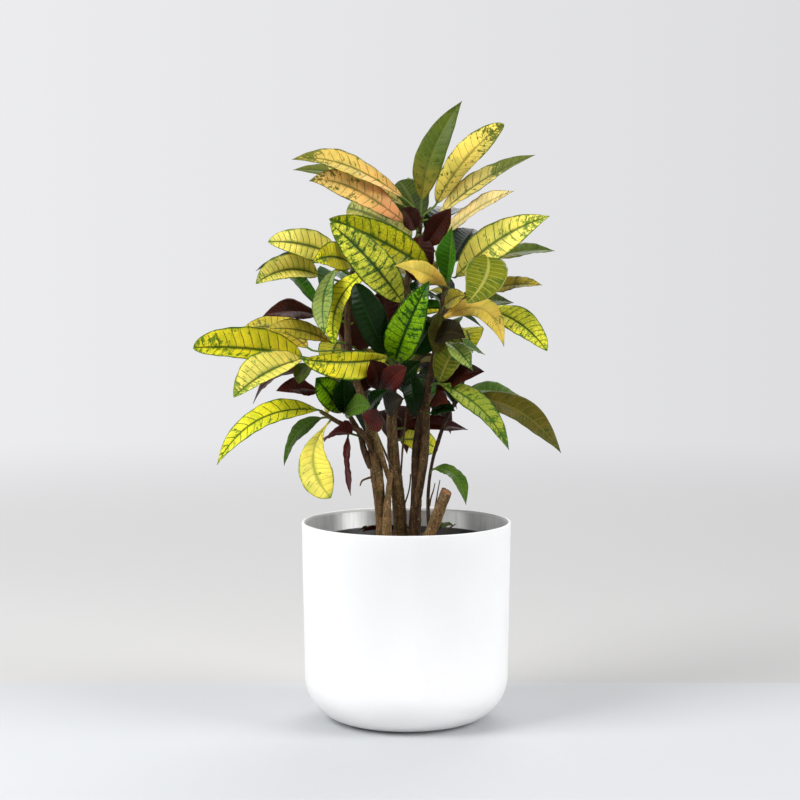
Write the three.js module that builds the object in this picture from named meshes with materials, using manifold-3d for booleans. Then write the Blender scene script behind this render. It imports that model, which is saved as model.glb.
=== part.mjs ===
// Potted croton: several woody canes with long leathery leaves, growing in a black nursery pot that
// stands inside a white metal planter. Millimetres, +Z up. The origin is on the floor on the
// planter's axis, +X is to the right and -Y is towards the viewer of the front view.
import * as THREE from 'three';
import { mergeVertices } from 'three/addons/utils/BufferGeometryUtils.js';
import Module from 'manifold-3d';

const wasm = await Module();
wasm.setup();

// Driving dimensions in millimetres
const PLANTER = {
  rim: 140, side: 136.6, height: 268.5, fillet: 61, wall: 3.6, rimRound: 1.1,
  sides: 48, outerSteps: 6, innerSteps: 4,
};
const NURSERY = {
  lip: 120, top: 116, foot: 74, bevel: 82, bevelRise: 5, rimHeight: 245, rimDepth: 16, lipSlope: 2,
  wall: 1.6, round: 1, sides: 28,
};
const DRAIN = { count: 6, radius: 6, circle: 52, cut: 10, sides: 10 };
const SOIL = {
  top: 239, mound: 4, bottomGap: 0.4, sideGap: 0.8, footInset: 2, edgeDepth: 8, roundDepth: 2,
  roundInset: 0.8, crown: [[0.7, 0.55], [0.35, 0.9]],
};
const GAP = 0.4;
const BLADE = { thick: 1, petiole: 3, rootThick: 2.4, baseThick: 2.1, tipHalf: 0.8 };
const WAVE = { height: 1.8, turns: 1.5, lag: 2, phaseStep: 2.4 };
const CLEAR = { face: 0.9, edge: 0.6 };

// Outlines of the blades: how fast they widen from the base and how fast they narrow to the tip
const OUTLINES = {
  lance: [0.85, 1.12],
  oval: [0.7, 0.8],
  blunt: [0.6, 0.6],
  jade: [0.6, 0.95],
  drop: [1.7, 0.8],
};

// Color, roughness and metalness of each piece
const LOOKS = {
  pot: [0xf1f0ec, 0.6, 0],
  nursery_pot: [0x1b1b1c, 0.5, 0],
  soil: [0x33261d, 0.95, 0],
  cane_left: [0xc9b043, 0.5, 0],
  cane_middle: [0xa8a83c, 0.5, 0],
  cane_right: [0x8f8a3a, 0.5, 0],
  cane_thin: [0x7d8a48, 0.5, 0],
  cut_stub: [0x7a5a3a, 0.5, 0],
};

// The front view in which the canes and leaves were measured: an eye at this distance from the
// planter's axis and at this height, looking down by this angle. Seen places are across and down
// in a square picture of 800 points, with the depth behind the planter's axis in millimetres.
const VIEW = { distance: 3042, eye: 697.5, focal: 2287, down: 5, centreAcross: 406.3, centreDown: 400 };
const TO_VIEWER = new THREE.Vector3(0, -1, 0);
const UP = new THREE.Vector3(0, 0, 1);

const radians = THREE.MathUtils.degToRad;

function seen(across, down, depth) {
  const look = radians(VIEW.down);
  const angle = Math.atan((VIEW.centreDown - down) / VIEW.focal) - look;
  const away = VIEW.distance + depth;
  const rise = away * Math.tan(angle);
  const along = away * Math.cos(look) - rise * Math.sin(look);
  const x = ((across - VIEW.centreAcross) * along) / VIEW.focal;
  return new THREE.Vector3(x, depth, VIEW.eye + rise);
}

// A fixed draw between 0 and 1 for a number, the same on every run
function chance(number) {
  const wave = Math.sin(number * 127.1 + 11.7) * 43758.5453;
  return wave - Math.floor(wave);
}

// Solids
function merged(geometry) {
  geometry.deleteAttribute('normal');
  geometry.deleteAttribute('uv');
  const whole = mergeVertices(geometry, 1e-3);
  const corners = whole.index.array;
  const kept = [];
  for (let i = 0; i < corners.length; i += 3) {
    const [a, b, c] = corners.slice(i, i + 3);
    if (a !== b && b !== c && c !== a) kept.push(a, b, c);
  }
  whole.setIndex(kept);
  return whole;
}

function signedVolume(points, corners) {
  const at = (i) => new THREE.Vector3(points[3 * i], points[3 * i + 1], points[3 * i + 2]);
  let sum = 0;
  for (let i = 0; i < corners.length; i += 3) {
    sum += at(corners[i]).dot(at(corners[i + 1]).cross(at(corners[i + 2])));
  }
  return sum / 6;
}

function solid(geometry) {
  const whole = merged(geometry);
  const vertProperties = Float32Array.from(whole.attributes.position.array);
  const triVerts = Uint32Array.from(whole.index.array);
  if (signedVolume(vertProperties, triVerts) < 0) triVerts.reverse();
  return new wasm.Manifold(new wasm.Mesh({ numProp: 3, vertProperties, triVerts }));
}

function turned(profile, sides) {
  const lathe = new THREE.LatheGeometry(profile.map(([r, z]) => new THREE.Vector2(r, z)), sides);
  lathe.rotateX(Math.PI / 2);
  return solid(lathe);
}

// Joins rings of points end to end and closes both ends. The second half of each ring is split the
// other way, so that the two faces of a blade are split alike.
function loft(rings) {
  const count = rings[0].length;
  const index = [];
  for (let ring = 0; ring + 1 < rings.length; ring++) {
    for (let i = 0; i < count; i++) {
      const a = ring * count + i;
      const b = ring * count + ((i + 1) % count);
      const c = a + count;
      const d = b + count;
      if (i < count / 2) index.push(a, b, d, a, d, c);
      else index.push(a, b, c, b, d, c);
    }
  }
  const last = (rings.length - 1) * count;
  for (let i = 2; i < count; i++) {
    const here = (i + 1) % count;
    index.push(1, here, i);
    index.push(last + 1, last + i, last + here);
  }
  const geometry = new THREE.BufferGeometry();
  const places = rings.flat().flatMap((point) => point.toArray());
  geometry.setAttribute('position', new THREE.Float32BufferAttribute(places, 3));
  geometry.setIndex(index);
  return solid(geometry);
}

function joined(solids) {
  return solids.reduce((whole, piece) => whole.add(piece));
}

function mesh(name, shape) {
  const [color, roughness, metalness] = LOOKS[name];
  const material = new THREE.MeshStandardMaterial({ color, roughness, metalness });
  const { vertProperties, triVerts, numProp } = shape.getMesh();
  const geometry = new THREE.BufferGeometry();
  const places = [];
  for (let i = 0; i < vertProperties.length; i += numProp) {
    places.push(vertProperties[i], vertProperties[i + 1], vertProperties[i + 2]);
  }
  geometry.setAttribute('position', new THREE.Float32BufferAttribute(places, 3));
  geometry.setIndex(Array.from(triVerts));
  const piece = new THREE.Mesh(geometry, material);
  piece.name = name;
  return piece;
}

// Planter, nursery pot and soil
function quarterArc(centreRadius, centreHeight, radius, steps) {
  const points = [];
  for (let i = 0; i <= steps; i++) {
    const angle = (-Math.PI / 2) * (1 - i / steps);
    points.push([centreRadius + radius * Math.cos(angle), centreHeight + radius * Math.sin(angle)]);
  }
  return points;
}

function planter() {
  const { rim, side, height, fillet, wall, rimRound, sides, outerSteps, innerSteps } = PLANTER;
  const outside = quarterArc(side - fillet, fillet, fillet, outerSteps);
  const inside = quarterArc(side - fillet, fillet, fillet - wall, innerSteps);
  const inner = rim - wall;
  return turned(
    [
      [0, 0],
      ...outside,
      [rim, height - rimRound],
      [rim - rimRound, height],
      [inner + rimRound, height],
      [inner, height - rimRound],
      ...inside.reverse(),
      [0, wall],
    ],
    sides,
  );
}

function nurseryPot() {
  const floor = PLANTER.wall + GAP;
  const { foot, bevel, bevelRise, top, lip, lipSlope, rimHeight, rimDepth, wall, round, sides } = NURSERY;
  const under = rimHeight - rimDepth;
  const cup = turned(
    [
      [0, floor],
      [foot, floor],
      [bevel, floor + bevelRise],
      [top - round, under],
      [lip, under + lipSlope],
      [lip, rimHeight - round],
      [lip - round, rimHeight],
      [top + round, rimHeight],
      [top, rimHeight - round],
      [top - wall - round, under],
      [bevel - wall, floor + bevelRise + round],
      [foot - round, floor + wall],
      [0, floor + wall],
    ],
    sides,
  );
  let pot = cup;
  for (let i = 0; i < DRAIN.count; i++) {
    const angle = (2 * Math.PI * i) / DRAIN.count;
    const hole = new THREE.CylinderGeometry(DRAIN.radius, DRAIN.radius, DRAIN.cut, DRAIN.sides);
    hole.rotateX(Math.PI / 2);
    hole.translate(DRAIN.circle * Math.cos(angle), DRAIN.circle * Math.sin(angle), floor);
    pot = pot.subtract(solid(hole));
  }
  return pot;
}

function soilBlock() {
  const floor = PLANTER.wall + GAP + NURSERY.wall + SOIL.bottomGap;
  const { bevel, bevelRise, top, foot, wall, round, rimHeight, rimDepth } = NURSERY;
  const start = floor + bevelRise + round;
  const low = bevel - wall - SOIL.sideGap;
  const high = top - wall - round - SOIL.sideGap;
  const rise = (SOIL.top - start) / (rimHeight - rimDepth - start);
  const edge = low + (high - low) * Math.min(rise, 1);
  return turned(
    [
      [0, floor],
      [foot - SOIL.footInset, floor],
      [low, start],
      [edge, SOIL.top - SOIL.edgeDepth],
      [edge - SOIL.roundInset, SOIL.top - SOIL.roundDepth],
      ...SOIL.crown.map(([out, up]) => [edge * out, SOIL.top + SOIL.mound * up]),
      [0, SOIL.top + SOIL.mound],
    ],
    NURSERY.sides,
  );
}

// Canes and twigs: node, then places seen in the front view with depth and radius, root end first
const STEMS = {
  A: ['cane_left', [382, 590, -6, 7.4], [381.5, 530, -6, 7.4], [379.5, 500, -6, 7.4], [377, 475, -5, 8.6],
    [374, 445, -4, 8.8], [369, 420, 0, 6.6], [361, 395, 4, 5.6], [353, 370, 8, 5.2], [348, 340, 10, 4.8],
    [348, 310, 10, 4.4], [351, 285, 8, 4], [353, 266, 6, 3.2]],
  A1: ['cane_left', [375, 456, -6, 5], [368, 441, -14, 4.4], [360, 431, -20, 3.9], [351, 427, -24, 3.6],
    [340, 423, -28, 3.3], [328, 416, -30, 3], [320, 411, -30, 2.6]],
  A2: ['cane_left', [371, 467, -5, 5], [364, 450, -9, 4.4], [360, 434, -9, 3.8], [352, 420, -7, 3.4],
    [346, 408, -5, 2.8]],
  A3: ['cane_left', [356, 382, 6, 4], [341, 372, 0, 3.6], [327, 365, -6, 3.2], [315, 361, -10, 2.6]],
  A4: ['cane_left', [357, 384, 5, 4], [348, 362, 34, 3.6], [341, 336, 54, 3.3], [338, 312, 64, 2.8]],
  C: ['cane_middle', [400, 590, 4, 9.6], [400.5, 530, 4, 9.4], [397.5, 490, 4, 8.6], [394, 460, 4, 8],
    [392, 430, 4, 7], [392, 400, 5, 6.3], [393, 366, 6, 5.8], [398, 330, 10, 5.3], [404, 295, 12, 4.9],
    [412, 262, 12, 4.5], [418, 238, 8, 4.1], [421, 216, 4, 3.4]],
  B: ['cane_middle', [388, 590, -24, 6.2], [387, 530, -22, 6.4], [387.5, 505, -18, 4.9],
    [389.5, 483, -9, 3.6], [392, 468, 0, 3]],
  C1: ['cane_middle', [390, 480, 2, 4], [385.5, 468, -10, 3.4], [380.5, 450, -20, 3], [375.5, 432, -23, 2.8],
    [373, 418, -22, 2.4]],
  C2: ['cane_middle', [393, 374, 6, 4.4], [398, 350, 30, 4], [404, 325, 52, 3.7], [408, 300, 66, 3.3],
    [410, 278, 72, 2.8]],
  D: ['cane_right', [414.5, 590, -4, 8.2], [414.5, 533, -4, 8.2], [416.5, 490, -4, 7.2], [416.5, 450, -4, 6],
    [422, 415, -5, 6], [428, 385, -6, 5.8], [433, 366, -6, 5.4], [437, 345, -7, 5], [441, 318, -8, 4.7],
    [445, 292, -8, 4.2], [449, 268, -6, 3.2]],
  D2: ['cane_right', [417, 506, -10, 4], [421, 480, -13, 5.4], [424.5, 450, -13, 6.2], [426, 418, -10, 5.2],
    [428.5, 392, -6, 3.6]],
  D3: ['cane_right', [441, 314, -8, 3.8], [456, 301, -11, 3.3], [470, 291, -12, 3], [483, 279, -12, 2.4]],
  D4: ['cane_right', [431, 380, -6, 4.2], [440, 362, 20, 3.8], [451, 344, 44, 3.5], [458, 322, 58, 2.8]],
  E: ['cane_thin', [429.5, 590, -20, 3], [429, 533, -20, 2.8], [428, 500, -20, 2.3], [430, 475, -20, 2.2],
    [434, 455, -20, 2.2], [438, 442, -21, 2.9], [442, 430, -22, 2.4], [449, 413, -21, 2.5],
    [456, 402, -19, 2.8], [462, 396, -16, 2.4]],
  F: ['cut_stub', [419, 560, -44, 8.2], [430.5, 533, -44, 8.2], [446.5, 491.5, -43, 8]],
};
const STEM_SIDES = 8;
const STEM_STEP = 36;

function stemCurve(places) {
  return new THREE.CatmullRomCurve3(places.map(([across, down, depth]) => seen(across, down, depth)));
}

// The point of a stem that is seen at this height of the front view
function stemPoint(name, down) {
  const places = STEMS[name].slice(1);
  let i = 1;
  while (i < places.length - 1 && places[i][1] > down) i++;
  const [before, after] = [places[i - 1], places[i]];
  const share = THREE.MathUtils.clamp((before[1] - down) / (before[1] - after[1]), 0, 1);
  return stemCurve(places).getPoint((i - 1 + share) / (places.length - 1));
}

function stemSolid(places, grow) {
  const curve = stemCurve(places);
  const length = curve.getLength();
  const steps = Math.max(2, Math.round(length / STEM_STEP));
  const rings = [];
  for (let i = 0; i <= steps; i++) {
    const t = i / steps;
    const centre = curve.getPoint(t);
    const along = curve.getTangent(t);
    const side = new THREE.Vector3().crossVectors(TO_VIEWER, along).normalize();
    const front = new THREE.Vector3().crossVectors(along, side);
    const place = t * (places.length - 1);
    const before = Math.min(Math.floor(place), places.length - 2);
    const radius = THREE.MathUtils.lerp(places[before][3], places[before + 1][3], place - before) + grow;
    const ring = [];
    for (let k = 0; k < STEM_SIDES; k++) {
      const angle = (2 * Math.PI * k) / STEM_SIDES;
      const spoke = side.clone().multiplyScalar(radius * Math.cos(angle));
      ring.push(spoke.addScaledVector(front, radius * Math.sin(angle)).add(centre));
    }
    rings.push(ring);
  }
  return loft(rings);
}

// Leaves. A leaf has its petiole's root on a stem, a blade from base to tip that bows by a vector at
// mid-length, a width, a tilt of its upper face away from its facing direction, a twist along its
// length and a fold of its halves towards the upper face.
const STATIONS = { front: [0, 0.16, 0.42, 0.74, 1], back: [0, 0.22, 0.68, 1] };

// The share of its full breadth that an outline has at this share of the blade's length
function breadth([widen, narrow], t) {
  const peak = widen / (widen + narrow);
  return Math.pow(t / peak, widen) * Math.pow((1 - t) / (1 - peak), narrow);
}

function bladeFrame(leaf, t) {
  const chord = leaf.tip.clone().sub(leaf.base);
  const axis = chord.clone().normalize();
  const centre = leaf.base.clone().addScaledVector(chord, t).addScaledVector(leaf.bow, 4 * t * (1 - t));
  const along = chord.clone().addScaledVector(leaf.bow, 4 - 8 * t).normalize();
  const face = leaf.facing.clone().addScaledVector(axis, -leaf.facing.dot(axis)).normalize();
  face.applyAxisAngle(axis, radians(leaf.tilt + leaf.twist * (t - 0.5)));
  face.addScaledVector(along, -face.dot(along)).normalize();
  const side = new THREE.Vector3().crossVectors(along, face);
  return { centre, face, side };
}

function sectionRing({ centre, face, side }, half, fold, waves, thick) {
  const across = half * Math.cos(fold);
  const raised = half * Math.sin(fold);
  const rim = (sign, wave) => {
    const point = centre.clone().addScaledVector(side, sign * across);
    return point.addScaledVector(face, raised + wave);
  };
  const spine = [rim(-1, waves[0]), centre.clone(), rim(1, waves[1])];
  const upper = spine.map((point) => point.clone().addScaledVector(face, thick / 2));
  const lower = spine.map((point) => point.clone().addScaledVector(face, -thick / 2));
  return [...upper, ...lower.reverse()];
}

function leafRings(leaf, stations, growEdge, growFace) {
  const fold = radians(leaf.fold);
  const rings = [];
  for (const t of stations) {
    const share = breadth(leaf.outline, t);
    const least = t < 0.5 ? BLADE.petiole / 2 : BLADE.tipHalf;
    const half = Math.max((leaf.width / 2) * share, least) + growEdge;
    const phase = 2 * Math.PI * WAVE.turns * t + leaf.phase;
    const waves = [phase, phase + WAVE.lag].map((angle) => WAVE.height * share * Math.sin(angle));
    const thick = (t === 0 ? BLADE.baseThick : BLADE.thick) + growFace;
    rings.push(sectionRing(bladeFrame(leaf, t), half, fold, waves, thick));
  }
  return rings;
}

function wholeLeaf(leaf, growEdge = 0, growFace = 0) {
  const rings = leafRings(leaf, STATIONS[leaf.half], growEdge, growFace);
  const { face, side } = bladeFrame(leaf, 0);
  const root = { centre: leaf.root, face, side };
  const start = sectionRing(root, BLADE.petiole / 2 + growEdge, 0, [0, 0], BLADE.rootThick + growFace);
  return loft([start, ...rings]);
}

function bladeOnly(leaf, growEdge = 0, growFace = 0) {
  return loft(leafRings(leaf, STATIONS[leaf.half].slice(1), growEdge, growFace));
}

// Leaves read from the front view: name, stem and height on it; base across, down and depth; tip the
// same; bow across, towards the back and up; width, tilt, twist, fold and outline
const LEAVES = [
  ['t1', 'C', 221, 422, 200, 2, 462, 101, -22, [-10, -14, 2], 42, 20, 0, 12, 'lance'],
  ['t2', 'C', 219, 437, 203, 8, 504, 124, 24, [-5, -4, 7], 42, 30, 0, 20, 'blunt'],
  ['t3', 'C', 222, 438, 217, -4, 535, 155, -34, [-3, 0, 8], 44, 58, 0, 16, 'lance'],
  ['t4', 'C', 226, 445, 235, -12, 514, 191, -62, [-2, 0, 6], 38, 60, 0, 16, 'lance'],
  ['t5', 'C', 222, 420, 222, 12, 399, 181, 66, [0, 0, 6], 50, 10, 0, 12, 'oval'],
  ['m1', 'C', 232, 416, 229, -6, 402, 209, -62, [0, 0, 4], 30, 20, 0, 20, 'oval'],
  ['m2', 'C', 240, 425, 246, -12, 451, 208, -66, [3, -6, 3], 34, 15, 0, 20, 'lance'],
  ['m3', 'C', 236, 419, 232, -6, 414, 276, -22, [4, -8, 4], 50, 20, 0, 16, 'oval'],
  ['l1', 'C', 217, 403, 198, -10, 292, 159.5, -58, [-4, 0, 18], 42, 50, 0, 14, 'lance'],
  ['l2', 'C', 221, 404, 206, 8, 293, 170, 14, [-3, 0, 15], 42, 56, 0, 12, 'lance'],
  ['l3', 'C', 227, 405, 223, -12, 309, 181, -44, [-8, -4, 19], 46, 34, 8, 12, 'lance'],
  ['l4', 'C', 232, 410, 240, 14, 343, 206, 60, [-2, 0, 8], 64, 14, 0, 10, 'blunt'],
  ['l5', 'D', 284, 431, 271, -34, 329, 219, -56, [0, -8, 6], 50, 16, 0, 14, 'oval'],
  ['l6', 'C', 298, 402, 302, -34, 330, 223, -92, [4, -14, 4], 50, 4, -10, 14, 'oval'],
  ['l7', 'D', 296, 447, 286, -46, 393, 266, -94, [0, 0, 6], 30, 10, 170, 10, 'lance'],
  ['l8', 'C', 372, 397, 357, -18, 433, 271, -42, [-3, -14, 2], 50, 10, -14, 16, 'jade'],
  ['l9', 'C', 374, 388, 357, -26, 358, 290, -88, [-3, -12, 2], 44, 18, 0, 16, 'blunt'],
  ['l10', 'C', 264, 367, 271, -14, 335, 345, -40, [-17, -8, 6], 42, 46, 0, 12, 'oval'],
  ['l11', 'A', 278, 335, 270, -6, 325, 334, -74, [-8, -10, 4], 34, 40, 0, 10, 'oval'],
  ['l12', 'A', 270, 345, 260, 4, 268, 242, -58, [-2, 0, 8], 44, 28, 0, 12, 'oval'],
  ['l13', 'A', 288, 318, 275, -14, 256, 284, -90, [-2, 0, 12], 44, 30, 24, 30, 'oval'],
  ['l14', 'A', 272, 351, 264, -18, 313, 262, -104, [0, 0, 8], 42, 24, 0, 16, 'lance'],
  ['l15', 'A', 276, 330, 264, 18, 256, 271, 44, [-4, 0, 12], 34, 66, 0, 14, 'lance'],
  ['l16', 'A', 318, 317, 305, 14, 282, 256, 48, [-5, 0, 3], 36, 58, 0, 14, 'lance'],
  ['l17', 'A', 324, 318, 315, -6, 263, 316, -76, [0, 0, 6], 34, 44, 0, 14, 'lance'],
  ['l18a', 'A', 352, 308, 348, 18, 238, 334, 72, [0, 0, 18], 44, 38, 0, 12, 'lance'],
  ['l18b', 'A', 344, 330, 342, -14, 265, 330, -84, [0, 0, 8], 32, 42, 0, 14, 'lance'],
  ['l19', 'A3', 362, 302, 357, -14, 193, 348, -30, [0, -4, 5], 60, 34, 0, 32, 'blunt'],
  ['l20', 'C', 378, 387, 358, -36, 302, 359, -112, [0, -6, -4], 48, -24, 0, 28, 'oval'],
  ['l21', 'A3', 363, 300, 360, -22, 228, 400, -92, [-3, 0, 6], 58, 40, 0, 32, 'oval'],
  ['l22', 'A3', 364, 311, 363, -16, 299, 384, -78, [-2, 0, 3], 26, 30, 0, 14, 'oval'],
  ['l23', 'A3', 366, 302, 371, -2, 253, 404, 34, [-6, 0, 12], 34, 72, 0, 14, 'lance'],
  ['l24', 'A3', 369, 318, 391, -10, 276, 391, -78, [0, 0, 4], 30, 46, 0, 14, 'lance'],
  ['l25', 'A1', 412, 318, 410, -32, 217, 465, -62, [-12, -2, 23], 40, 42, 0, 12, 'lance'],
  ['l26', 'A1', 417, 330, 421, -36, 331, 498, -52, [-23, -6, 0], 48, 12, -30, 12, 'drop'],
  ['l27', 'A1', 420, 322, 418, -20, 284, 466, 14, [-8, 0, 10], 24, 44, 0, 14, 'lance'],
  ['l28', 'A2', 438, 352, 434, -22, 324, 442, -96, [-2, 0, 8], 34, 128, 0, 14, 'lance'],
  ['l29', 'A1', 426, 348, 436, -28, 351, 496, -60, [-5, -4, 0], 18, 58, 0, 16, 'lance'],
  ['l30', 'A2', 412, 343, 412, -14, 316, 378, -76, [-3, -4, 5], 38, 20, 0, 16, 'oval'],
  ['l31', 'A2', 408, 344, 413, -18, 344, 377, -56, [0, -4, 4], 32, 16, 0, 16, 'oval'],
  ['l32', 'A2', 410, 347, 415, -20, 377, 404, -92, [0, -4, 8], 32, 40, 0, 16, 'oval'],
  ['l33', 'C1', 426, 366, 412, -22, 388, 390, -78, [0, -4, 4], 24, 40, 0, 16, 'lance'],
  ['l34', 'C1', 430, 381, 427, -32, 358, 412, -88, [0, -4, 4], 28, 28, 0, 16, 'oval'],
  ['l35', 'C', 402, 382, 394, -26, 407, 367, -94, [-3, -4, 3], 34, 20, 0, 16, 'oval'],
  ['l36', 'C', 392, 397, 385, -14, 421, 361, -74, [0, -4, 3], 30, 20, 0, 16, 'lance'],
  ['n1', 'C', 406, 404, 404, 22, 412, 364, 48, [0, 4, 4], 42, 8, 0, 14, 'oval'],
  ['n2', 'C', 396, 380, 390, -14, 366, 362, -84, [0, -4, 4], 36, 20, 0, 16, 'lance'],
  ['n3', 'C', 416, 386, 410, -18, 403, 398, -96, [0, -4, 4], 34, 30, 0, 16, 'oval'],
  ['n4', 'D', 352, 437, 354, -16, 441, 313, -36, [0, -3, 3], 28, 20, 0, 14, 'oval'],
  ['r1', 'D', 276, 456, 277, -18, 550, 216, -56, [-4, -4, 10], 50, 20, 0, 12, 'lance'],
  ['r2', 'D3', 282, 490, 259, 0, 555, 251, 52, [0, 0, 5], 34, 58, 0, 14, 'lance'],
  ['r3', 'D3', 283, 487, 253, -30, 470, 297, -100, [12, -10, 4], 56, 12, 0, 12, 'oval'],
  ['r4', 'D3', 288, 486, 291, -20, 542, 285, -84, [0, 0, 4], 30, 56, 0, 14, 'lance'],
  ['r5', 'D', 306, 458, 306, -2, 514, 303, 60, [0, 0, 5], 32, 48, 0, 14, 'lance'],
  ['r6', 'D3', 292, 485, 309, -20, 547, 351, -82, [5, 0, 8], 44, 40, 0, 12, 'oval'],
  ['r7', 'D', 330, 440, 321, -24, 504, 347, -74, [14, -4, 32], 36, 34, 40, 12, 'lance'],
  ['r8', 'D', 312, 446, 305, -26, 472, 291, -98, [0, -4, 4], 28, 30, 0, 16, 'lance'],
  ['r9', 'D', 346, 438, 339, -22, 490, 332, -100, [0, 0, 9], 36, 36, 0, 14, 'lance'],
  ['r10', 'D', 272, 452, 262, 8, 474, 229, 82, [0, 0, 5], 46, 30, 0, 14, 'oval'],
  ['r11', 'D', 290, 446, 284, -14, 452, 226, -66, [2, -8, 2], 38, 42, 0, 30, 'lance'],
  ['b1', 'D', 388, 440, 384, -22, 509, 450, -66, [8, -2, 11], 40, 46, 0, 12, 'lance'],
  ['b2', 'E', 398, 474, 397, -18, 561, 453, -42, [8, 0, 14], 44, 42, 0, 12, 'lance'],
  ['b3', 'E', 397, 466, 391, -6, 538, 412, 46, [3, 0, 10], 36, 70, 0, 14, 'lance'],
  ['b4', 'D', 396, 436, 393, -4, 487, 378, -44, [0, 0, 8], 34, 42, 0, 14, 'lance'],
  ['b5', 'D', 384, 440, 380, -14, 460, 336, 10, [0, -4, 4], 42, 30, 0, 14, 'oval'],
  ['b6', 'D', 348, 443, 341, -28, 473, 371, -82, [4, -4, 4], 26, 20, 110, 10, 'lance'],
  ['b7', 'D', 354, 446, 346, 2, 485, 355, 66, [0, 0, 6], 26, 62, 0, 14, 'lance'],
  ['b8', 'D', 406, 430, 404, -26, 449, 404, -92, [0, 0, 6], 24, 40, 0, 16, 'lance'],
  ['b9', 'D', 412, 431, 413, -28, 455, 411, -74, [0, 0, 6], 26, 40, 0, 16, 'lance'],
  ['b10', 'C', 430, 403, 428, 20, 468, 430, 62, [0, 0, 6], 30, 50, 0, 14, 'lance'],
  ['b11', 'C', 442, 401, 440, 22, 438, 450, 96, [0, 0, 6], 40, 30, 0, 14, 'oval'],
  ['b12', 'E', 474, 434, 469, -26, 466, 505, -58, [7, 0, 14], 26, 48, 0, 14, 'lance'],
  ['n5', 'A', 346, 364, 352, 18, 342, 292, 32, [0, 4, 4], 54, 6, 0, 14, 'oval'],
  ['n6', 'C', 358, 393, 348, 24, 383, 286, 44, [0, 4, 4], 52, 8, 0, 14, 'oval'],
  ['n7', 'C', 372, 409, 374, -6, 414, 418, -2, [2, -4, 2], 30, 10, 0, 14, 'lance'],
  ['n8', 'C', 366, 414, 356, 26, 438, 322, 58, [0, 4, 4], 48, 10, 0, 14, 'oval'],
  ['n9', 'A', 392, 352, 390, 16, 374, 366, 34, [0, 4, 4], 44, 10, 0, 14, 'oval'],
];

function frontLeaf(row, order) {
  const [name, stem, height, ba, bd, bdepth, ta, td, tdepth, bow, width, tilt, twist, fold, outline] = row;
  return {
    name,
    node: STEMS[stem][0],
    root: stemPoint(stem, height),
    base: seen(ba, bd, bdepth),
    tip: seen(ta, td, tdepth),
    bow: new THREE.Vector3(...bow),
    facing: TO_VIEWER.clone(),
    half: 'front',
    width,
    tilt: ta > ba ? -tilt : tilt,
    twist,
    fold,
    phase: order * WAVE.phaseStep,
    outline: OUTLINES[outline],
  };
}

// Leaves on the side away from the viewer: each stem carries a spiral of them between two heights,
// every next one turned further round within an arc that opens to the back
const SPIRALS = [
  { stem: 'C', from: 226, to: 346, count: 9, rise: 34, reach: 120, width: 44, arc: [30, 150] },
  { stem: 'C2', from: 282, to: 350, count: 6, rise: 30, reach: 132, width: 46, arc: [30, 152] },
  { stem: 'A', from: 272, to: 366, count: 6, rise: 22, reach: 120, width: 44, arc: [45, 124] },
  { stem: 'A4', from: 316, to: 362, count: 5, rise: 20, reach: 124, width: 44, arc: [42, 118] },
  { stem: 'D', from: 274, to: 368, count: 6, rise: 26, reach: 108, width: 44, arc: [58, 150] },
  { stem: 'D4', from: 326, to: 366, count: 5, rise: 18, reach: 112, width: 44, arc: [70, 148] },
  { stem: 'A', from: 378, to: 412, count: 4, rise: 16, reach: 92, width: 42, arc: [24, 120] },
  { stem: 'C', from: 356, to: 404, count: 6, rise: 16, reach: 104, width: 42, arc: [20, 160] },
  { stem: 'D', from: 376, to: 408, count: 4, rise: 16, reach: 92, width: 40, arc: [56, 156] },
];

// Lowest and highest value that a leaf of a spiral draws for each of its measures
const BACK = {
  turn: 0.382, shift: 0.37, fall: 34, rise: [0, 10], droop: [18, 32], stalk: [22, 32],
  length: [0.86, 1.14], bow: [8, 18], width: [0.85, 1.15], tilt: [-14, 14], twist: [-16, 16],
  fold: [10, 20],
};

function backLeaf(spiral, index, order) {
  const draw = ([low, high], seed) => THREE.MathUtils.lerp(low, high, chance(order + seed));
  const share = index / (spiral.count - 1);
  const height = THREE.MathUtils.lerp(spiral.from, spiral.to, share);
  const around = (index * BACK.turn + order * BACK.shift) % 1;
  const angle = radians(THREE.MathUtils.lerp(spiral.arc[0], spiral.arc[1], around));
  const rise = radians(spiral.rise - BACK.fall * share + draw(BACK.rise, 0));
  const droop = rise - radians(draw(BACK.droop, 50));
  const heading = (lift) => new THREE.Vector3(
    Math.cos(angle) * Math.cos(lift),
    Math.sin(angle) * Math.cos(lift),
    Math.sin(lift),
  );
  const root = stemPoint(spiral.stem, height);
  const base = root.clone().addScaledVector(heading(rise), draw(BACK.stalk, 100));
  const length = spiral.reach * draw(BACK.length, 150);
  return {
    name: `back_${order}`,
    node: STEMS[spiral.stem][0],
    root,
    base,
    tip: base.clone().addScaledVector(heading(droop), length),
    bow: new THREE.Vector3(0, 0, draw(BACK.bow, 200)),
    facing: UP.clone(),
    half: 'back',
    width: spiral.width * draw(BACK.width, 250),
    tilt: draw(BACK.tilt, 300),
    twist: draw(BACK.twist, 350),
    fold: draw(BACK.fold, 400),
    phase: order * WAVE.phaseStep,
    outline: OUTLINES.lance,
  };
}

function allLeaves() {
  const leaves = LEAVES.map((row, order) => frontLeaf(row, order));
  for (const spiral of SPIRALS) {
    for (let index = 0; index < spiral.count; index++) leaves.push(backLeaf(spiral, index, leaves.length));
  }
  return leaves;
}

// Leaves that would touch are swung clear about their root, first in depth and then sideways
const SWING = { step: 6, deep: 6, aside: 3, asideCost: 1.6, backCost: 0.01, leftCost: 0.02 };

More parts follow.
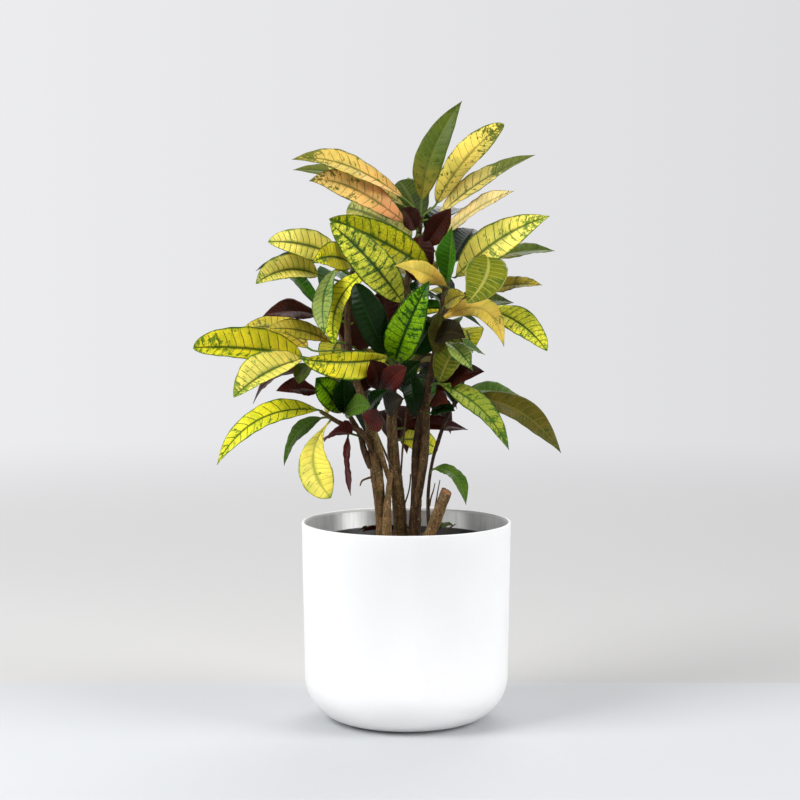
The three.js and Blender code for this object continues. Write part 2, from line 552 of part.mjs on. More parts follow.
function swings() {
  const list = [];
  for (let deep = -SWING.deep; deep <= SWING.deep; deep++) {
    for (let aside = -SWING.aside; aside <= SWING.aside; aside++) {
      const way = (deep > 0 ? SWING.backCost : 0) + (aside < 0 ? SWING.leftCost : 0);
      const cost = Math.abs(deep) + SWING.asideCost * Math.abs(aside) + way;
      list.push({ deep: deep * SWING.step, aside: aside * SWING.step, cost });
    }
  }
  return list.sort((one, other) => one.cost - other.cost);
}

function swung(leaf, { deep, aside }) {
  const chord = leaf.tip.clone().sub(leaf.base);
  const hinge = new THREE.Vector3().crossVectors(chord, leaf.facing).normalize();
  const move = (point) => {
    point.applyAxisAngle(hinge, radians(deep));
    return point.applyAxisAngle(leaf.facing, radians(aside));
  };
  const about = (point) => move(point.clone().sub(leaf.root)).add(leaf.root);
  return {
    ...leaf,
    base: about(leaf.base),
    tip: about(leaf.tip),
    bow: move(leaf.bow.clone()),
    facing: move(leaf.facing.clone()),
  };
}

function boxesMeet(one, other) {
  return [0, 1, 2].every((k) => one.min[k] < other.max[k] && other.min[k] < one.max[k]);
}

function meet(one, other) {
  if (!boxesMeet(one.boundingBox(), other.boundingBox())) return false;
  const shared = one.intersect(other);
  const empty = shared.isEmpty();
  shared.delete();
  return !empty;
}

function isClear(leaf, placed, stems) {
  const whole = wholeLeaf(leaf, CLEAR.edge, CLEAR.face);
  const blade = bladeOnly(leaf, CLEAR.edge, CLEAR.face);
  const onStem = Object.entries(stems).some(([node, stem]) =>
    meet(node === leaf.node ? blade : whole, stem));
  const onLeaf = () => placed.some((other) => (
    other.node === leaf.node ? meet(blade, other.blade) : meet(whole, other.whole)
  ));
  const clear = !onStem && !onLeaf();
  whole.delete();
  blade.delete();
  return clear;
}

function settled(leaves, stems) {
  const order = swings();
  const placed = [];
  for (const leaf of leaves) {
    for (const swing of order) {
      const moved = swung(leaf, swing);
      if (!isClear(moved, placed, stems)) continue;
      placed.push({ ...moved, whole: wholeLeaf(moved), blade: bladeOnly(moved) });
      break;
    }
  }
  return placed;
}

// Assembly
function stemSolids() {
  const solids = {};
  for (const [node, ...places] of Object.values(STEMS)) {
    const piece = stemSolid(places, 0);
    solids[node] = solids[node] ? solids[node].add(piece) : piece;
  }
  return solids;
}

function soilWithHoles() {
  let soil = soilBlock();
  for (const name of ['A', 'B', 'C', 'D', 'E', 'F']) {
    soil = soil.subtract(stemSolid(STEMS[name].slice(1), GAP));
  }
  return soil;
}

const plant = new THREE.Group();
plant.add(mesh('pot', planter()));
plant.add(mesh('nursery_pot', nurseryPot()));
plant.add(mesh('soil', soilWithHoles()));

const stems = stemSolids();
const placedLeaves = settled(allLeaves(), stems);
for (const [node, stem] of Object.entries(stems)) {
  const own = placedLeaves.filter((leaf) => leaf.node === node).map((leaf) => leaf.whole);
  plant.add(mesh(node, joined([stem, ...own])));
}

export default plant;
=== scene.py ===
"""The looks of the potted croton: veined leaves, barked canes, soil, nursery pot and white planter."""

import math
from functools import reduce

import bmesh
import bpy
import numpy as np
from mathutils import Matrix, Quaternion, Vector, noise
from mathutils.kdtree import KDTree


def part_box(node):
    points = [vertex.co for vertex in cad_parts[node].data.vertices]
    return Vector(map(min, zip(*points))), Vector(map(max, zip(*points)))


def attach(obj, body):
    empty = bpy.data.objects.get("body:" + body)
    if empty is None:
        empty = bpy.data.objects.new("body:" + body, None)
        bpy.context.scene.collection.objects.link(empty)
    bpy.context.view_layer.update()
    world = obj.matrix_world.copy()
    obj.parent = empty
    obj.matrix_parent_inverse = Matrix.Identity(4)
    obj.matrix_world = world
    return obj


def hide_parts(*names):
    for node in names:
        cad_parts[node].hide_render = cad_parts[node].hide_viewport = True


bl_info = {
    "name": "Potted Croton",
    "version": (1, 0, 0),
    "blender": (4, 5, 0),
    "location": "View3D > Sidebar > Croton",
    "description": "Dresses a potted croton's solids with leaves, bark, soil and a planter",
    "category": "Object",
}

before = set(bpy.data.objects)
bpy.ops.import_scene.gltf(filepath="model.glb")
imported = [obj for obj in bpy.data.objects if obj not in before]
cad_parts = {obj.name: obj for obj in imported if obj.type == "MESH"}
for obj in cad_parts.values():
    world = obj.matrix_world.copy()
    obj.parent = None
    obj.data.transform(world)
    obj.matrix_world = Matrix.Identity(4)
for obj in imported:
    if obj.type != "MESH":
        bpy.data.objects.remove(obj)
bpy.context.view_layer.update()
MM = 0.001

# The front view in which the canes and leaves were measured: distance and height of the eye in
# millimetres, focal length, downward tilt in degrees, and where the planter's axis and the middle
# lie. Seen places are across and down in a square picture of 800 points, with the depth behind the
# planter's axis in millimetres.
VIEW = {"distance": 3042, "eye": 697.5, "focal": 2287, "down": 5, "across": 406.3, "middle": 400}
PICTURE = 800
SENSOR_WIDTH = 36.0
TO_VIEWER = Vector((0, -1, 0))
UP = Vector((0, 0, 1))

# The same blades as in the solids, in millimetres: edge wave, half their thickness, and outlines
# that say how fast a blade widens from its base and how fast it narrows to its tip
WAVE_HEIGHT = 1.8
WAVE_TURNS = 1.5
WAVE_LAG = 2
PHASE_STEP = 2.4
SOLID_HALF_THICKNESS = 0.5
OUTLINES = {
    "lance": (0.85, 1.12), "oval": (0.7, 0.8), "blunt": (0.6, 0.6), "jade": (0.6, 0.95), "drop": (1.7, 0.8),
}

# The leaves of a spiral: how far round each leaf and each spiral moves on, as shares of the spiral's
# spread, and how much lower than the first leaf the last one points, in degrees
SPIRAL_TURN = 0.382
SPIRAL_SHIFT = 0.37
SPIRAL_FALL = 34
# What a leaf of a spiral draws for each of its measures: start of the draw, lowest and highest value
DRAWS = {
    "rise": (0, 0, 10), "droop": (50, 18, 32), "stalk": (100, 22, 32), "length": (150, 0.86, 1.14),
    "bow": (200, 8, 18), "width": (250, 0.85, 1.15), "tilt": (300, -14, 14), "twist": (350, -16, 16),
    "fold": (400, 10, 20),
}
# Starts of the draws of a leaf's kind, pattern, tone and relief
KIND_DRAW, PATTERN_DRAW, TONE_DRAW, RELIEF_DRAW = 450, 500, 550, 600
# Factor, start and stretch of the wave from which every draw is read
DRAW_WAVE = (127.1, 11.7, 43758.5453)
# Spirals that start lower in the view than this hold only dark kinds: dark leaves that also stand for
# painted shade deep inside the bush
LOW_HEIGHT = 350
BACK_KINDS = ("yellow", "green", "maroon", "lime", "moss", "gold", "dark", "cream", "bronze")
LOW_SHADE_KINDS = ("dark", "maroon", "moss", "dark", "wine")
LEAFY_NODES = ("cane_left", "cane_middle", "cane_right", "cane_thin")
# The turns that a leaf may have made to hang clear of its neighbours: their step in degrees, the most
# steps in depth and sideways, what a step sideways costs, and what a turn towards the leaf's facing
# and a clockwise turn cost on top
SWING = {"step": 6, "deep": 6, "aside": 3, "aside_cost": 1.6, "lift_cost": 0.01, "clockwise_cost": 0.02}
# How near a leaf's tip must lie to a corner of its solid, in millimetres, and how few leaves may be found
TIP_REACH = 0.1
LEAST_LEAVES = 100

# The planter, nursery pot and soil of the solids, in millimetres
PLANTER = {"rim": 140, "side": 136.6, "height": 268.5, "fillet": 61, "wall": 3.6, "round": 1.4}
NURSERY = {"lip": 120, "top": 116, "foot": 74, "bevel": 82, "height": 245, "wall": 1.6}
SOIL = {"top": 239, "mound": 4}
# Steps up the planter's side and round its rim, and how far its lining's two upper edges lie inside
# the rim's wall and below the rim, in millimetres
SIDE_STEPS, RIM_STEPS = 8, 5
LINING = ((0, 4), (1.2, 60))
# Finer shapes of the nursery pot, in millimetres: gap under it, height of its collar and foot bevel,
# radius of its lip's roll, bands of its wall with a rib at every third one, and its drain holes
POT_DETAIL = {
    "gap": 0.4, "collar": 16, "bevel": 5, "roll": 1, "roll_steps": 4, "bands": 10, "rib_every": 3,
    "rib": 0.5, "rib_half": 1.6, "groove": 0.1, "holes": 6, "hole_ring": 52, "hole": 6, "hole_depth": 10,
    "hole_sides": 20,
}
# Finer shapes of the soil, in millimetres: how its top sinks, dips at its edge and in its middle, how
# much of its mound and lumps is kept, and its side and underside inside the nursery pot
SOIL_DETAIL = {
    "rings": 44, "sides": 128, "gap": 0.3, "edge": 9, "edge_fall": 2.4, "sunk": 2.2, "middle": 2.6,
    "kept": 0.8, "side_gap": 0.4, "side_drop": 12, "bevel_gap": 2.6, "bevel": 12, "foot_gap": 2,
    "under": 6.2,
}
# Height in millimetres and fineness of the three sizes of lump on the soil, and where their noise is read
SOIL_LUMPS = ((2.2, 0.03), (1.3, 0.09), (0.8, 0.24))
LUMP_LEVEL = 4.7
# What is strewn on the soil: setting of its density, smallest and largest size in metres, stretch, seed
STREWN = {
    "soil_crumbs": ("crumbs", 0.0009, 0.0026, (1.0, 0.85, 0.7), 3),
    "soil_fibres": ("fibres", 0.0016, 0.0042, (0.16, 1.4, 0.16), 5),
    "bark_chips": ("chips", 0.0024, 0.0052, (1.0, 0.62, 0.26), 8),
}

TURN = 2 * math.pi
# Turn from one leaf scar of a cane to the next
GOLDEN_ANGLE = math.radians(137.5)
# Distance between the points of a cane's centre line in millimetres, and the fewest steps along it
LINE_STEP = 1.6
LEAST_STEPS = 6
# A petiole: thickness in millimetres, steps along it, how much thicker it is at its root and over what
# share of its length, and, as shares of its length, its rise from the cane and how far it keeps each
# end's heading
PETIOLE = 3.0
PETIOLE_STEPS = 7
PETIOLE_SWELL = 0.35
PETIOLE_RISE = 0.35
PETIOLE_KEEP = 0.3
# Places of a blade's points: from its midrib to its edge as shares of its half-width, extra ones near
# its base, and rows between two side veins. Side veins bend back towards the edge by the vein curve.
COLUMNS = (0.05, 0.24, 0.46, 0.68, 0.86, 1.0)
BASE_PLACES = (0, 0.006, 0.014)
ROWS_PER_VEIN = 4
VEIN_CURVE = 1.3
# Ends of a blade are cut short by this share, and its tip stays this wide on each side, in millimetres
OUTLINE_END = 1e-6
TIP_HALF_WIDTH = 0.3
# Uneven edge of a blade: turns along it, pace of the leaf's phase, lag of its halves, share of its width
EDGE_SWINGS = ((1.3, 3, 1, 0.035), (6.5, 5, 2, 0.012))
# Ripple of its edge: turns along it, pace of the leaf's phase, and height in millimetres
RIPPLE_TURNS, RIPPLE_PACE, RIPPLE_HEIGHT = 7, 2, 0.35
# Midrib in millimetres: half-width, groove above and rise below; and the power of its fading to the tip
RIB_HALF_WIDTH, RIB_GROOVE, RIB_RISE = 1.2, 0.3, 0.95
RIB_FADE = 0.6
# Shares of a blade from its base over which its edge grows uneven and its round stalk flattens out, how
# thin the stalk gets at its sides, and how high its upper half is beside its lower one
EDGE_START, STALK_REACH = 0.2, 0.05
STALK_ROUND, STALK_TOP = 0.97, 0.75
# How far the side veins of one half lie from those of the other, as a share of the way between two, and
# where the swelling between them starts and ends, as shares of the way from the midrib to the edge
VEIN_STAGGER = 0.25
QUILT_START, QUILT_END = (0.04, 0.35), (0.75, 1)
# Least height of that swelling in a leaf and how much higher it may be drawn, as shares of the setting
LEAST_RELIEF, RELIEF_SPREAD = 0.6, 0.6
# How much thinner a blade is at its edge and at its tip
EDGE_THINNING, TIP_THINNING = 0.6, 0.4
# Darkest tone of a leaf's colours and how much lighter they may be drawn, and how far blotches may vary
DARKEST_TONE, TONE_SPREAD, BLOTCH_SPREAD = 0.9, 0.2, 0.12
# How dark the bark of each cane, of the sawn stub and of the dead twigs is
DARK_CANES = {
    "A": 0.2, "A1": 0.6, "A2": 0.7, "A4": 0.4, "C": 0.2, "C2": 0.4, "D": 0.85, "D2": 0.6, "D3": 0.6,
    "E": 0.95,
}
STUB_SHADE = 0.3
TWIG_SHADE = 0.6
# Facets of a twig, its bark's depth as a share of a cane's, and its scars' size as one of its radius
TWIG_SIDES, TWIG_BARK, TWIG_SCAR = 12, 0.4, 0.2
# Canes whose thin end stays woody, and how green the others turn, between which radii
WOODY_CANES = ("B", "E")
GREEN_SHARE = 0.85
GREEN_RADII = (2.2, 3.4)
# The stub's cut: over what length it sets in, and its slopes sideways and to the front
CUT_REACH = 14
CUT_LEAN = (0.18, -0.36)
# The stub's bark and end grain in millimetres: height and fineness of its ridges, round and along, of
# its lumps, and of the torn wood of its face, how far bark and face lie inside, and the face's rings
RIDGE_HEIGHT, RIDGE_ROUND, RIDGE_ALONG = 0.9, 0.2, 0.06
LUMP_HEIGHT, LUMP_FINENESS = 0.5, 0.6
TORN_WOOD = ((0.5, 0.5), (0.3, 1.7))
BARK_INSET, FACE_INSET = 0.5, 0.6
FACE_RINGS = (0.94, 0.75, 0.5, 0.25)
# Headings, as the share of a direction that points back, between which the room's light gives way to
# the backdrop's, and how far to each side the studio gets dimmer or brighter
ROOM_EDGE = (-0.25, 0.6)
SLOPE_REACH = 0.3
# Half the floor seam's blend, and where the floor begins and ends to melt into the backdrop by a painted
# glow, in metres
SEAM_BLEND = 0.004
MELT_REACH = (0.5, 3.8)
# Lights: place and target in metres, width, and spread in degrees
LIGHTS = {
    "key": ((-2.2, -1.35, 2.2), (0, 0, 0.42), 1.8, 180),
    "fill": ((2.5, -1.05, 1.5), (0, 0, 0.42), 1.6, 180),
    "rear": ((0.6, 2.2, 2.4), (0, 0, 0.42), 1.6, 180),
    "low": ((0.0, -2.6, 0.08), (0.0, -0.14, -0.06), 0.3, 12),
}

# How each kind of leaf is coloured: blade, blotches and veins, then how much of it is blotched, how
# blotched its tip is, how strong its net and its veins are, and, where they aren't the usual ones,
# how glossy it is and the colour and share of a flush at its base
KINDS = {
    "yellow": ((228, 216, 46), (72, 118, 28), (42, 74, 16), 0.06, 0.34, 0.12, 0.95, 0.4),
    "butter": ((254, 230, 112), (40, 78, 20), (108, 116, 40), 0.06, 0.4, 0.05, 0.6),
    "lemon": ((246, 232, 102), (96, 140, 44), (140, 150, 56), 0.0, 0.14, 0.1, 0.6),
    "banded": ((208, 190, 104), (76, 92, 30), (70, 84, 30), 0.2, 0.95, 0.15, 0.85),
    "straw": ((234, 210, 142), (92, 104, 50), (118, 122, 54), 0.04, 0.16, 0.05, 0.6),
    "moss": ((58, 71, 16), (38, 52, 14), (104, 116, 56), 0.2, 0.1, 0.0, 0.5),
    "peach": ((220, 190, 98), (84, 98, 30), (92, 94, 30), 0.1, 0.45, 0.1, 0.8, 0.3, (222, 148, 96), 0.5),
    "blush": (
        (238, 198, 116), (76, 92, 32), (90, 88, 32), 0.06, 0.34, 0.1, 0.7, 0.3, (226, 142, 104), 0.75,
    ),
    "cream": (
        (240, 226, 106), (98, 134, 40), (62, 86, 24), 0.08, 0.24, 0.1, 0.9, 0.3, (240, 208, 104), 0.3,
    ),
    "apricot": (
        (212, 186, 82), (112, 120, 42), (160, 134, 54), 0.02, 0.1, 0.0, 0.4, 0.3, (218, 158, 76), 0.4,
    ),
    "gold": ((184, 168, 52), (100, 104, 34), (74, 72, 24), 0.12, 0.14, 0.2, 0.9, 0.3, (194, 150, 60), 0.3),
    "bronze": ((166, 148, 48), (92, 92, 30), (66, 68, 22), 0.18, 0.16, 0.2, 0.8),
    "bronzegreen": ((80, 74, 22), (56, 66, 20), (116, 106, 46), 0.22, 0.2, 0.1, 0.5),
    "mottle": ((108, 114, 24), (70, 90, 22), (188, 182, 92), 0.3, 0.1, 0.0, 0.55),
    "lime": ((232, 228, 48), (74, 128, 30), (40, 76, 18), 0.1, 0.14, 0.2, 0.95, 0.5),
    "speckle": ((146, 158, 56), (60, 98, 28), (48, 80, 22), 0.2, 0.2, 0.3, 0.9, 0.5),
    "netlime": ((222, 220, 66), (74, 118, 28), (44, 76, 18), 0.06, 0.1, 0.35, 1.0, 0.4),
    "net": ((175, 171, 26), (54, 86, 16), (40, 64, 12), 0.14, 0.24, 0.4, 1.0, 0.6),
    "gloss": ((220, 222, 72), (58, 100, 36), (38, 68, 20), 0.14, 0.14, 0.4, 1.0, 1.0),
    "jade": ((130, 176, 14), (12, 74, 8), (8, 50, 4), 0.1, 0.4, 0.5, 1.0, 1.0),
    "green": ((48, 98, 16), (28, 72, 10), (112, 146, 48), 0.12, 0.1, 0.0, 0.5, 0.6),
    "dark": ((12, 37, 4), (7, 22, 2), (42, 76, 20), 0.1, 0.0, 0.0, 0.25, 0.8),
    "bright": ((254, 248, 58), (96, 140, 30), (60, 96, 22), 0.06, 0.16, 0.12, 0.95, 0.5),
    "sunny": ((255, 240, 116), (98, 134, 40), (62, 86, 24), 0.05, 0.2, 0.1, 0.95, 0.4),
    "maroon": ((52, 18, 11), (30, 11, 8), (82, 40, 28), 0.15, 0.0, 0.0, 0.3, 0.5, (80, 30, 22), 0.4),
    "wine": ((76, 28, 26), (52, 18, 18), (114, 58, 48), 0.12, 0.0, 0.0, 0.4, 0.4, (94, 38, 34), 0.4),
    # painted shade: this kind is the near-black that leaves show in deep shade inside the bush
    "umber": ((26, 21, 5), (22, 19, 6), (66, 58, 24), 0.12, 0.0, 0.0, 0.4),
    "sage": ((66, 94, 26), (44, 72, 20), (106, 128, 62), 0.14, 0.1, 0.0, 0.5),
    # painted shade: this kind is the dark grey-green that a leaf shows in shade
    "slate": ((34, 40, 33), (20, 26, 22), (74, 84, 72), 0.1, 0.0, 0.1, 0.5, 0.7),
    "pale": ((196, 190, 104), (110, 130, 56), (76, 98, 40), 0.1, 0.2, 0.2, 0.85),
    "palegreen": ((150, 168, 84), (48, 88, 32), (48, 84, 30), 0.12, 0.24, 0.25, 0.9, 0.6),
    "olive": ((86, 102, 34), (60, 78, 24), (116, 130, 62), 0.15, 0.16, 0.0, 0.4, 0.3, (206, 160, 66), 0.25),
}

# Canes: node, then places across, down, depth and radius, root end first
STEMS = {
    "A": ("cane_left", (382, 590, -6, 7.4), (381.5, 530, -6, 7.4), (379.5, 500, -6, 7.4),
        (377, 475, -5, 8.6), (374, 445, -4, 8.8), (369, 420, 0, 6.6), (361, 395, 4, 5.6),
        (353, 370, 8, 5.2), (348, 340, 10, 4.8), (348, 310, 10, 4.4), (351, 285, 8, 4),
        (353, 266, 6, 3.2)),
    "A1": ("cane_left", (375, 456, -6, 5), (368, 441, -14, 4.4), (360, 431, -20, 3.9),
        (351, 427, -24, 3.6), (340, 423, -28, 3.3), (328, 416, -30, 3), (320, 411, -30, 2.6)),
    "A2": ("cane_left", (371, 467, -5, 5), (364, 450, -9, 4.4), (360, 434, -9, 3.8),
        (352, 420, -7, 3.4), (346, 408, -5, 2.8)),
    "A3": ("cane_left", (356, 382, 6, 4), (341, 372, 0, 3.6), (327, 365, -6, 3.2),
        (315, 361, -10, 2.6)),
    "A4": ("cane_left", (357, 384, 5, 4), (348, 362, 34, 3.6), (341, 336, 54, 3.3),
        (338, 312, 64, 2.8)),
    "C": ("cane_middle", (400, 590, 4, 9.6), (400.5, 530, 4, 9.4), (397.5, 490, 4, 8.6),
        (394, 460, 4, 8), (392, 430, 4, 7), (392, 400, 5, 6.3), (393, 366, 6, 5.8), (398, 330, 10, 5.3),
        (404, 295, 12, 4.9), (412, 262, 12, 4.5), (418, 238, 8, 4.1), (421, 216, 4, 3.4)),
    "B": ("cane_middle", (388, 590, -24, 6.2), (387, 530, -22, 6.4), (387.5, 505, -18, 4.9),
        (389.5, 483, -9, 3.6), (392, 468, 0, 3)),
    "C1": ("cane_middle", (390, 480, 2, 4), (385.5, 468, -10, 3.4), (380.5, 450, -20, 3),
        (375.5, 432, -23, 2.8), (373, 418, -22, 2.4)),
    "C2": ("cane_middle", (393, 374, 6, 4.4), (398, 350, 30, 4), (404, 325, 52, 3.7),
        (408, 300, 66, 3.3), (410, 278, 72, 2.8)),
    "D": ("cane_right", (414.5, 590, -4, 8.2), (414.5, 533, -4, 8.2), (416.5, 490, -4, 7.2),
        (416.5, 450, -4, 6), (422, 415, -5, 6), (428, 385, -6, 5.8), (433, 366, -6, 5.4),
        (437, 345, -7, 5), (441, 318, -8, 4.7), (445, 292, -8, 4.2), (449, 268, -6, 3.2)),
    "D2": ("cane_right", (417, 506, -10, 4), (421, 480, -13, 5.4), (424.5, 450, -13, 6.2),
        (426, 418, -10, 5.2), (428.5, 392, -6, 3.6)),
    "D3": ("cane_right", (441, 314, -8, 3.8), (456, 301, -11, 3.3), (470, 291, -12, 3),
        (483, 279, -12, 2.4)),
    "D4": ("cane_right", (431, 380, -6, 4.2), (440, 362, 20, 3.8), (451, 344, 44, 3.5),
        (458, 322, 58, 2.8)),
    "E": ("cane_thin", (429.5, 590, -20, 3), (429, 533, -20, 2.8), (428, 500, -20, 2.3),
        (430, 475, -20, 2.2), (434, 455, -20, 2.2), (438, 442, -21, 2.9), (442, 430, -22, 2.4),
        (449, 413, -21, 2.5), (456, 402, -19, 2.8), (462, 396, -16, 2.4)),
    "F": ("cut_stub", (419, 560, -44, 8.2), (430.5, 533, -44, 8.2), (446.5, 491.5, -43, 8)),
}

